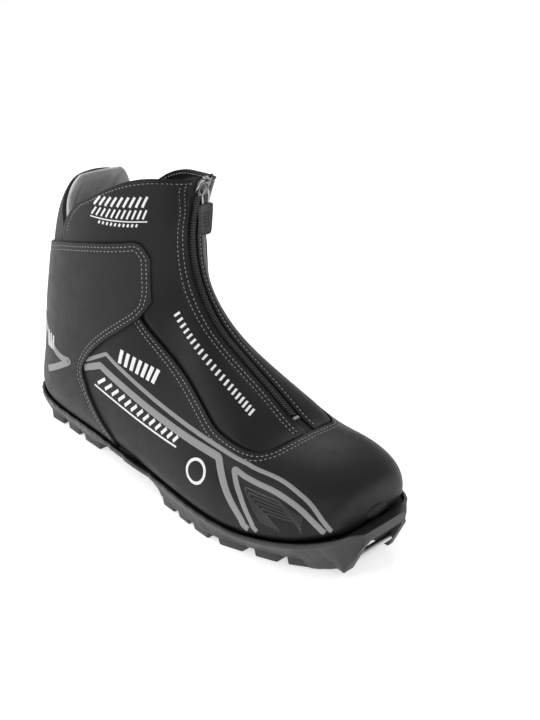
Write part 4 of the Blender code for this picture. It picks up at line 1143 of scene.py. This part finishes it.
def sole_outline(x, side):
    """Half width of the sole at the rim."""
    toe_end = FOOT[:, 0].max()
    width = np.array([half_width(np.array([a]), side, cup_gap(a) + 2.2)[0] for a in x])
    nose = np.interp(x, [toe_end + 1.0, 284.8, 287.4, NOSE_X], [27.5, 26.0, 22.8, 19.0])
    return np.maximum(width, np.where(x > toe_end - 2.0, nose, 12.0))


def sole_stations():
    """Even stations with closer ones where the sole's shape turns."""
    heel_end = FOOT[:, 0].min()
    start = heel_end - cup_gap(0.0) - 2.4
    marks = np.concatenate([start + 5.0 * (1 - np.cos(np.linspace(0, math.pi / 2, 14))),
                            np.arange(start + 6.5, 262.0, 2.0), np.arange(262.0, 280.0, 1.0),
                            np.arange(280.0, NOSE_X + 0.01, 0.5), [RECESS_X - 0.1, RECESS_X + 0.5]])
    return np.unique(np.round(marks, 3))


def make_sole():
    """Outsole: cup with rim, sidewall, lugs, guide grooves, toe shelf and ears, and the toe bar."""
    x = sole_stations()
    count = len(x)
    rim = FEATHER(x)
    toe_end = FOOT[:, 0].max()
    heel_end = FOOT[:, 0].min()
    wide = {side: sole_outline(x, side) for side in (-1, 1)}
    inside = (x > heel_end - 1.5) & (x < toe_end + 1.0)
    floor = np.where(inside, np.maximum(CUP_FLOOR(x), BASE(x) + FLOOR_WALL), rim)
    base = BASE(x)
    ear = np.maximum(tread(x), tread(NOSE_X) + (x - EAR_FRONT) * 2.2)
    low = np.where(x < FORE_LUGS[-1][1], base, ear)
    ceiling = np.where(x > RECESS_X, CUP_FLOOR(x) - 2.5, base)
    profile = []
    for side in (-1, 1):
        w = wide[side]
        e = np.minimum(np.maximum(w - tread_inset(x), TREAD_LEAST), w)
        cup = [half_width(np.array([a]), side, cup_gap(a) + 0.1)[0] for a in x]
        cup = np.minimum(np.maximum(cup, 9.0), w - 1.4)
        room = cup_gap(x) + CUP_SLACK
        corner = np.array([underside(a, side, c - 1.0) for a, c in zip(x, cup)]) - room
        corner = np.where(inside, np.minimum(np.maximum(corner, floor), rim - 3.2), rim)
        haunch = np.array([underside(a, side, c * 0.8) for a, c in zip(x, cup)]) - room
        haunch = np.where(inside, np.minimum(np.maximum(haunch, floor), corner), rim)
        top = rim - WALL_TOP
        lean = w + (e - w) * WALL_LEAN

        def wall(share, swell=0.0):
            return lean + (e - lean) * share + swell, top + (low - top) * share
        part = [(cup * 0.5, floor), (cup * 0.8, haunch), (cup, corner), (cup + 0.2, rim - 0.3),
                (cup + 0.5, rim + 0.1), (w - 0.5, rim + 0.1), (w, rim - 0.5), (w + 0.05, rim - 1.7),
                (w - 0.25, rim - 2.7), (lean - 0.5, top), wall(0.12, -0.5), wall(0.3, -0.6),
                wall(0.5, -0.7), wall(0.75, -0.5), wall(0.95), (e - 0.5, low),
                (np.minimum(GROOVE[1], e * 0.8), low), (np.minimum(EAR_GAP, e * 0.76), ceiling),
                (np.minimum(GROOVE[0], e * 0.5), ceiling)]
        profile.append([np.stack([x, side * np.broadcast_to(y, x.shape), np.broadcast_to(z, x.shape)], 1)
                        for y, z in part])
    centre_low = np.stack([x, x * 0, ceiling], 1)
    centre_top = np.stack([x, x * 0, floor], 1)
    ring = np.stack([centre_top, *profile[1], centre_low, *profile[0][::-1]], 0)
    mesh = bmesh.new()

    def mapping(u, v):
        i = np.rint(u * (count - 1)).astype(int)
        j = np.rint(v * len(ring)).astype(int) % len(ring)
        return ring[j, i]
    mapped_grid(mesh, count - 1, len(ring), mapping)
    closed(mesh)
    bmesh.ops.recalc_face_normals(mesh, faces=mesh.faces[:])
    for face in mesh.faces:
        spot = np.array(face.calc_center_median()) / MM + ORIGIN
        above = FEATHER(spot[0])[0] - 2.2
        face.material_index = 1 if spot[2] > above else 0
    sole = add_piece("outsole", mesh, LOOKS["sole"], stands_for=["outsole"], edge=0.4,
                     crease=38.0)
    sole.data.materials.append(LOOKS["rim"])
    lugs = bmesh.new()
    for start, end in HEEL_LUGS + FORE_LUGS:
        for lane in (-1, 0, 1):
            made = bmesh.ops.create_cube(lugs, size=1.0)
            for v in made["verts"]:
                at = start + (end - start) * (v.co.x * (0.90 if v.co.z < 0 else 1.0) + 0.5)
                spot = np.array([at])
                if lane:
                    rim_width = sole_outline(spot, lane)[0]
                    outer = max(rim_width - tread_inset(at), TREAD_LEAST)
                    inner = min(GROOVE[1], outer * 0.8)
                    mid = (outer + inner) / 2
                    share = v.co.y * 2 * lane
                    y = lane * (mid + share * (outer - inner) / 2 * (LUG_TAPER if v.co.z < 0 else 1.0))
                else:
                    y = v.co.y * 2 * GROOVE[0] * (LUG_TAPER if v.co.z < 0 else 1.0)
                z = BASE(spot)[0] + 1.2 if v.co.z > 0 else tread(at)
                v.co = place((at, y, z))
            bmesh.ops.bevel(lugs, geom=list({e for v in made["verts"] for e in v.link_edges}),
                            offset=0.8 * MM, segments=2, profile=0.5, affect="EDGES", material=-1)
    add_piece("tread_lugs", lugs, LOOKS["sole"], crease=38.0)
    rod = bmesh.new()
    middle = Vector(place(BAR_AT))
    turn = Matrix.Rotation(math.pi / 2, 4, "X")
    length = BAR_HIGH.y - BAR_LOW.y
    bmesh.ops.create_cone(rod, cap_ends=True, segments=48, radius1=2.0 * MM, radius2=2.0 * MM, depth=length,
                          matrix=Matrix.Translation(middle) @ turn)
    add_piece("toe_bar", rod, LOOKS["bar"], stands_for=["toe_bar"], edge=0.3)


# ---------------------------------------------------------------- studio

AIM = place((150.0, 0.0, 90.0))
AZIMUTH = math.radians(45.7)
ELEVATION = math.radians(23.5)
DISTANCE = 0.705
LAMP_AIM = Vector((0.0, 0.0, 0.08))
LAMPS = {                                  # place, size and power
    "key_light": ((-0.3, -1.2, 1.5), 0.9, 12.0),
    "fill_light": ((1.3, -0.5, 0.9), 1.0, 4.5),
    "back_light": ((-0.6, 1.1, 1.3), 0.8, 5.0),
    "side_light": ((-1.3, -0.6, 0.6), 0.7, 4.5)}


def make_studio():
    """Pale floor, soft lights and the camera."""
    floor_mesh = bmesh.new()
    bmesh.ops.create_grid(floor_mesh, x_segments=1, y_segments=1, size=6.0)
    data = bpy.data.meshes.new("studio_floor")
    floor_mesh.to_mesh(data)
    floor_mesh.free()
    floor = bpy.data.objects.new("studio_floor", data)
    floor.location.z = -0.0003
    paper = bpy.data.materials.new("studio_paper")
    paper.use_nodes = True
    shader = paper.node_tree.nodes["Principled BSDF"]
    shader.inputs["Base Color"].default_value = (0.86, 0.86, 0.86, 1.0)
    shader.inputs["Roughness"].default_value = 0.9
    shader.inputs["Emission Color"].default_value = (1.0, 1.0, 1.0, 1.0)
    shader.inputs["Emission Strength"].default_value = 0.6
    data.materials.append(paper)
    bpy.context.scene.collection.objects.link(floor)
    world = bpy.data.worlds.new("studio_sky")
    world.use_nodes = True
    sky = world.node_tree.nodes["Background"]
    sky.inputs["Color"].default_value = (1.0, 1.0, 1.0, 1.0)
    rays = world.node_tree.nodes.new("ShaderNodeLightPath")
    strength = ranged(world.node_tree, rays.outputs["Is Camera Ray"], 0.0, 1.0, 0.45, 1.0)
    link(world.node_tree, strength, sky.inputs["Strength"])
    bpy.context.scene.world = world
    for name, (spot, size, power) in LAMPS.items():
        light = bpy.data.lights.new(name, "AREA")
        light.shape = "SQUARE"
        light.size = size
        light.energy = power
        lamp = bpy.data.objects.new(name, light)
        lamp.location = spot
        lamp.rotation_euler = (LAMP_AIM - Vector(spot)).to_track_quat("-Z", "Y").to_euler()
        bpy.context.scene.collection.objects.link(lamp)
    lens = bpy.data.cameras.new("camera")
    lens.lens = 55.55
    lens.sensor_width = 36.0
    lens.shift_x = 0.075
    lens.shift_y = -0.0028
    lens.clip_start = 0.01
    camera = bpy.data.objects.new("camera", lens)
    back = Vector((math.sin(AZIMUTH) * math.cos(ELEVATION), -math.cos(AZIMUTH) * math.cos(ELEVATION),
                   math.sin(ELEVATION)))
    camera.location = Vector(AIM) + back * DISTANCE
    camera.rotation_euler = (-back).to_track_quat("-Z", "Y").to_euler()
    bpy.context.scene.collection.objects.link(camera)
    bpy.context.scene.camera = camera
    bpy.context.scene.view_settings.view_transform = "Standard"


# ---------------------------------------------------------------- add-on

class BootSizes(bpy.types.PropertyGroup):
    """Sizes of the upper's details."""
    leather: bpy.props.FloatProperty(name="Leather", description="Wall of the vamp",
                                     default=0.0016, min=0.0008, max=0.0024, unit="LENGTH")
    dip: bpy.props.FloatProperty(name="Seam dip", description="How deep stitches pull the leather in",
                                 default=0.00035, min=0.0, max=0.001, unit="LENGTH")
    stitch_pitch: bpy.props.FloatProperty(name="Stitch pitch", description="From stitch to stitch",
                                          default=0.0029, min=0.0015, max=0.006, unit="LENGTH")
    stitch_length: bpy.props.FloatProperty(name="Stitch length", description="Length of one stitch",
                                           default=0.0021, min=0.001, max=0.005, unit="LENGTH")
    thread: bpy.props.FloatProperty(name="Thread", description="Thickness of the thread",
                                    default=0.00075, min=0.0002, max=0.0015, unit="LENGTH")


class BootColours(bpy.types.PropertyGroup):
    """Lightness of each finish, as a grey value."""
    upper: bpy.props.FloatProperty(name="Upper", description="Grey of the leather", default=0.012,
                                   min=0.0, max=1.0, subtype="FACTOR")
    fleece: bpy.props.FloatProperty(name="Fleece", description="Grey of the lining", default=0.50,
                                    min=0.0, max=1.0, subtype="FACTOR")
    sole: bpy.props.FloatProperty(name="Sole", description="Grey of the rubber", default=0.020,
                                  min=0.0, max=1.0, subtype="FACTOR")
    thread: bpy.props.FloatProperty(name="Thread", description="Grey of the stitches", default=0.30,
                                    min=0.0, max=1.0, subtype="FACTOR")
    stripe: bpy.props.FloatProperty(name="Stripe", description="Grey of the stripes", default=0.25,
                                    min=0.0, max=1.0, subtype="FACTOR")
    mark: bpy.props.FloatProperty(name="Mark", description="Grey of the white marks", default=0.8,
                                  min=0.0, max=1.0, subtype="FACTOR")


class BOOT_OT_looks(bpy.types.Operator):
    """Make the boot's materials"""
    bl_idname = "boot.looks"
    bl_label = "Materials"

    def execute(self, context):
        make_looks(context.scene.boot_colours)
        return {"FINISHED"}


class BOOT_OT_vamp(bpy.types.Operator):
    """Make the vamp and quarters"""
    bl_idname = "boot.vamp"
    bl_label = "Vamp and quarters"

    def execute(self, context):
        make_vamp(context.scene.boot_sizes)
        return {"FINISHED"}


class BOOT_OT_overlay(bpy.types.Operator):
    """Make the ankle and heel overlay"""
    bl_idname = "boot.overlay"
    bl_label = "Heel overlay"

    def execute(self, context):
        make_overlay(context.scene.boot_sizes)
        return {"FINISHED"}


class BOOT_OT_covers(bpy.types.Operator):
    """Make the padded covers on both sides of the zip"""
    bl_idname = "boot.covers"
    bl_label = "Padded covers"

    def execute(self, context):
        make_cover(-1, "cover_lateral", context.scene.boot_sizes)
        make_cover(1, "cover_medial", context.scene.boot_sizes)
        return {"FINISHED"}


class BOOT_OT_heel_tab(bpy.types.Operator):
    """Make the webbing strip up the heel"""
    bl_idname = "boot.heel_tab"
    bl_label = "Heel tab"

    def execute(self, context):
        make_heel_tab()
        return {"FINISHED"}


class BOOT_OT_stitching(bpy.types.Operator):
    """Make the stitch rows"""
    bl_idname = "boot.stitching"
    bl_label = "Stitching"

    def execute(self, context):
        make_stitching(context.scene.boot_sizes)
        return {"FINISHED"}


class BOOT_OT_prints(bpy.types.Operator):
    """Make the stripes, marks and chevrons"""
    bl_idname = "boot.prints"
    bl_label = "Prints"

    def execute(self, context):
        make_prints()
        return {"FINISHED"}


class BOOT_OT_collar(bpy.types.Operator):
    """Make the fleece-faced collar"""
    bl_idname = "boot.collar"
    bl_label = "Padded collar"

    def execute(self, context):
        make_collar()
        return {"FINISHED"}


class BOOT_OT_inside(bpy.types.Operator):
    """Make the lining and tongue, and dress the hidden pieces"""
    bl_idname = "boot.inside"
    bl_label = "Lining and tongue"

    def execute(self, context):
        make_inside()
        return {"FINISHED"}


class BOOT_OT_zip(bpy.types.Operator):
    """Make the zip's tapes and teeth"""
    bl_idname = "boot.zip"
    bl_label = "Zip"

    def execute(self, context):
        make_zip()
        return {"FINISHED"}


class BOOT_OT_slider(bpy.types.Operator):
    """Make the slider, its link and the grip"""
    bl_idname = "boot.slider"
    bl_label = "Slider and puller"

    def execute(self, context):
        make_slider()
        make_puller()
        return {"FINISHED"}


class BOOT_OT_sole(bpy.types.Operator):
    """Make the outsole, its lugs and the toe bar"""
    bl_idname = "boot.sole"
    bl_label = "Sole"

    def execute(self, context):
        make_sole()
        return {"FINISHED"}


class BOOT_OT_studio(bpy.types.Operator):
    """Make the floor, lights and camera"""
    bl_idname = "boot.studio"
    bl_label = "Studio"

    def execute(self, context):
        make_studio()
        return {"FINISHED"}


STEPS = [BOOT_OT_looks, BOOT_OT_studio, BOOT_OT_vamp, BOOT_OT_overlay, BOOT_OT_covers, BOOT_OT_heel_tab,
         BOOT_OT_stitching, BOOT_OT_prints, BOOT_OT_collar, BOOT_OT_inside, BOOT_OT_zip, BOOT_OT_slider,
         BOOT_OT_sole]


class BOOT_PT_sidebar(bpy.types.Panel):
    """Sidebar panel with the boot's sizes, colours and steps"""
    bl_idname = "BOOT_PT_sidebar"
    bl_label = "Ski boot"
    bl_space_type = "VIEW_3D"
    bl_region_type = "UI"
    bl_category = "Ski boot"

    def draw(self, context):
        for group in (context.scene.boot_sizes, context.scene.boot_colours):
            box = self.layout.box()
            for name in group.__annotations__:
                box.prop(group, name)
        for step in STEPS:
            self.layout.operator(step.bl_idname)


CLASSES = [BootSizes, BootColours, *STEPS, BOOT_PT_sidebar]


def register():
    """Add the classes and the scene's sizes and colours."""
    for entry in CLASSES:
        bpy.utils.register_class(entry)
    bpy.types.Scene.boot_sizes = bpy.props.PointerProperty(type=BootSizes)
    bpy.types.Scene.boot_colours = bpy.props.PointerProperty(type=BootColours)


def unregister():
    """Take them away again."""
    del bpy.types.Scene.boot_colours
    del bpy.types.Scene.boot_sizes
    for entry in reversed(CLASSES):
        bpy.utils.unregister_class(entry)


def main():
    """Make the whole boot."""
    register()
    for step in STEPS:
        getattr(bpy.ops.boot, step.bl_idname.split(".")[1])()


if __name__ == "__main__":
    main()
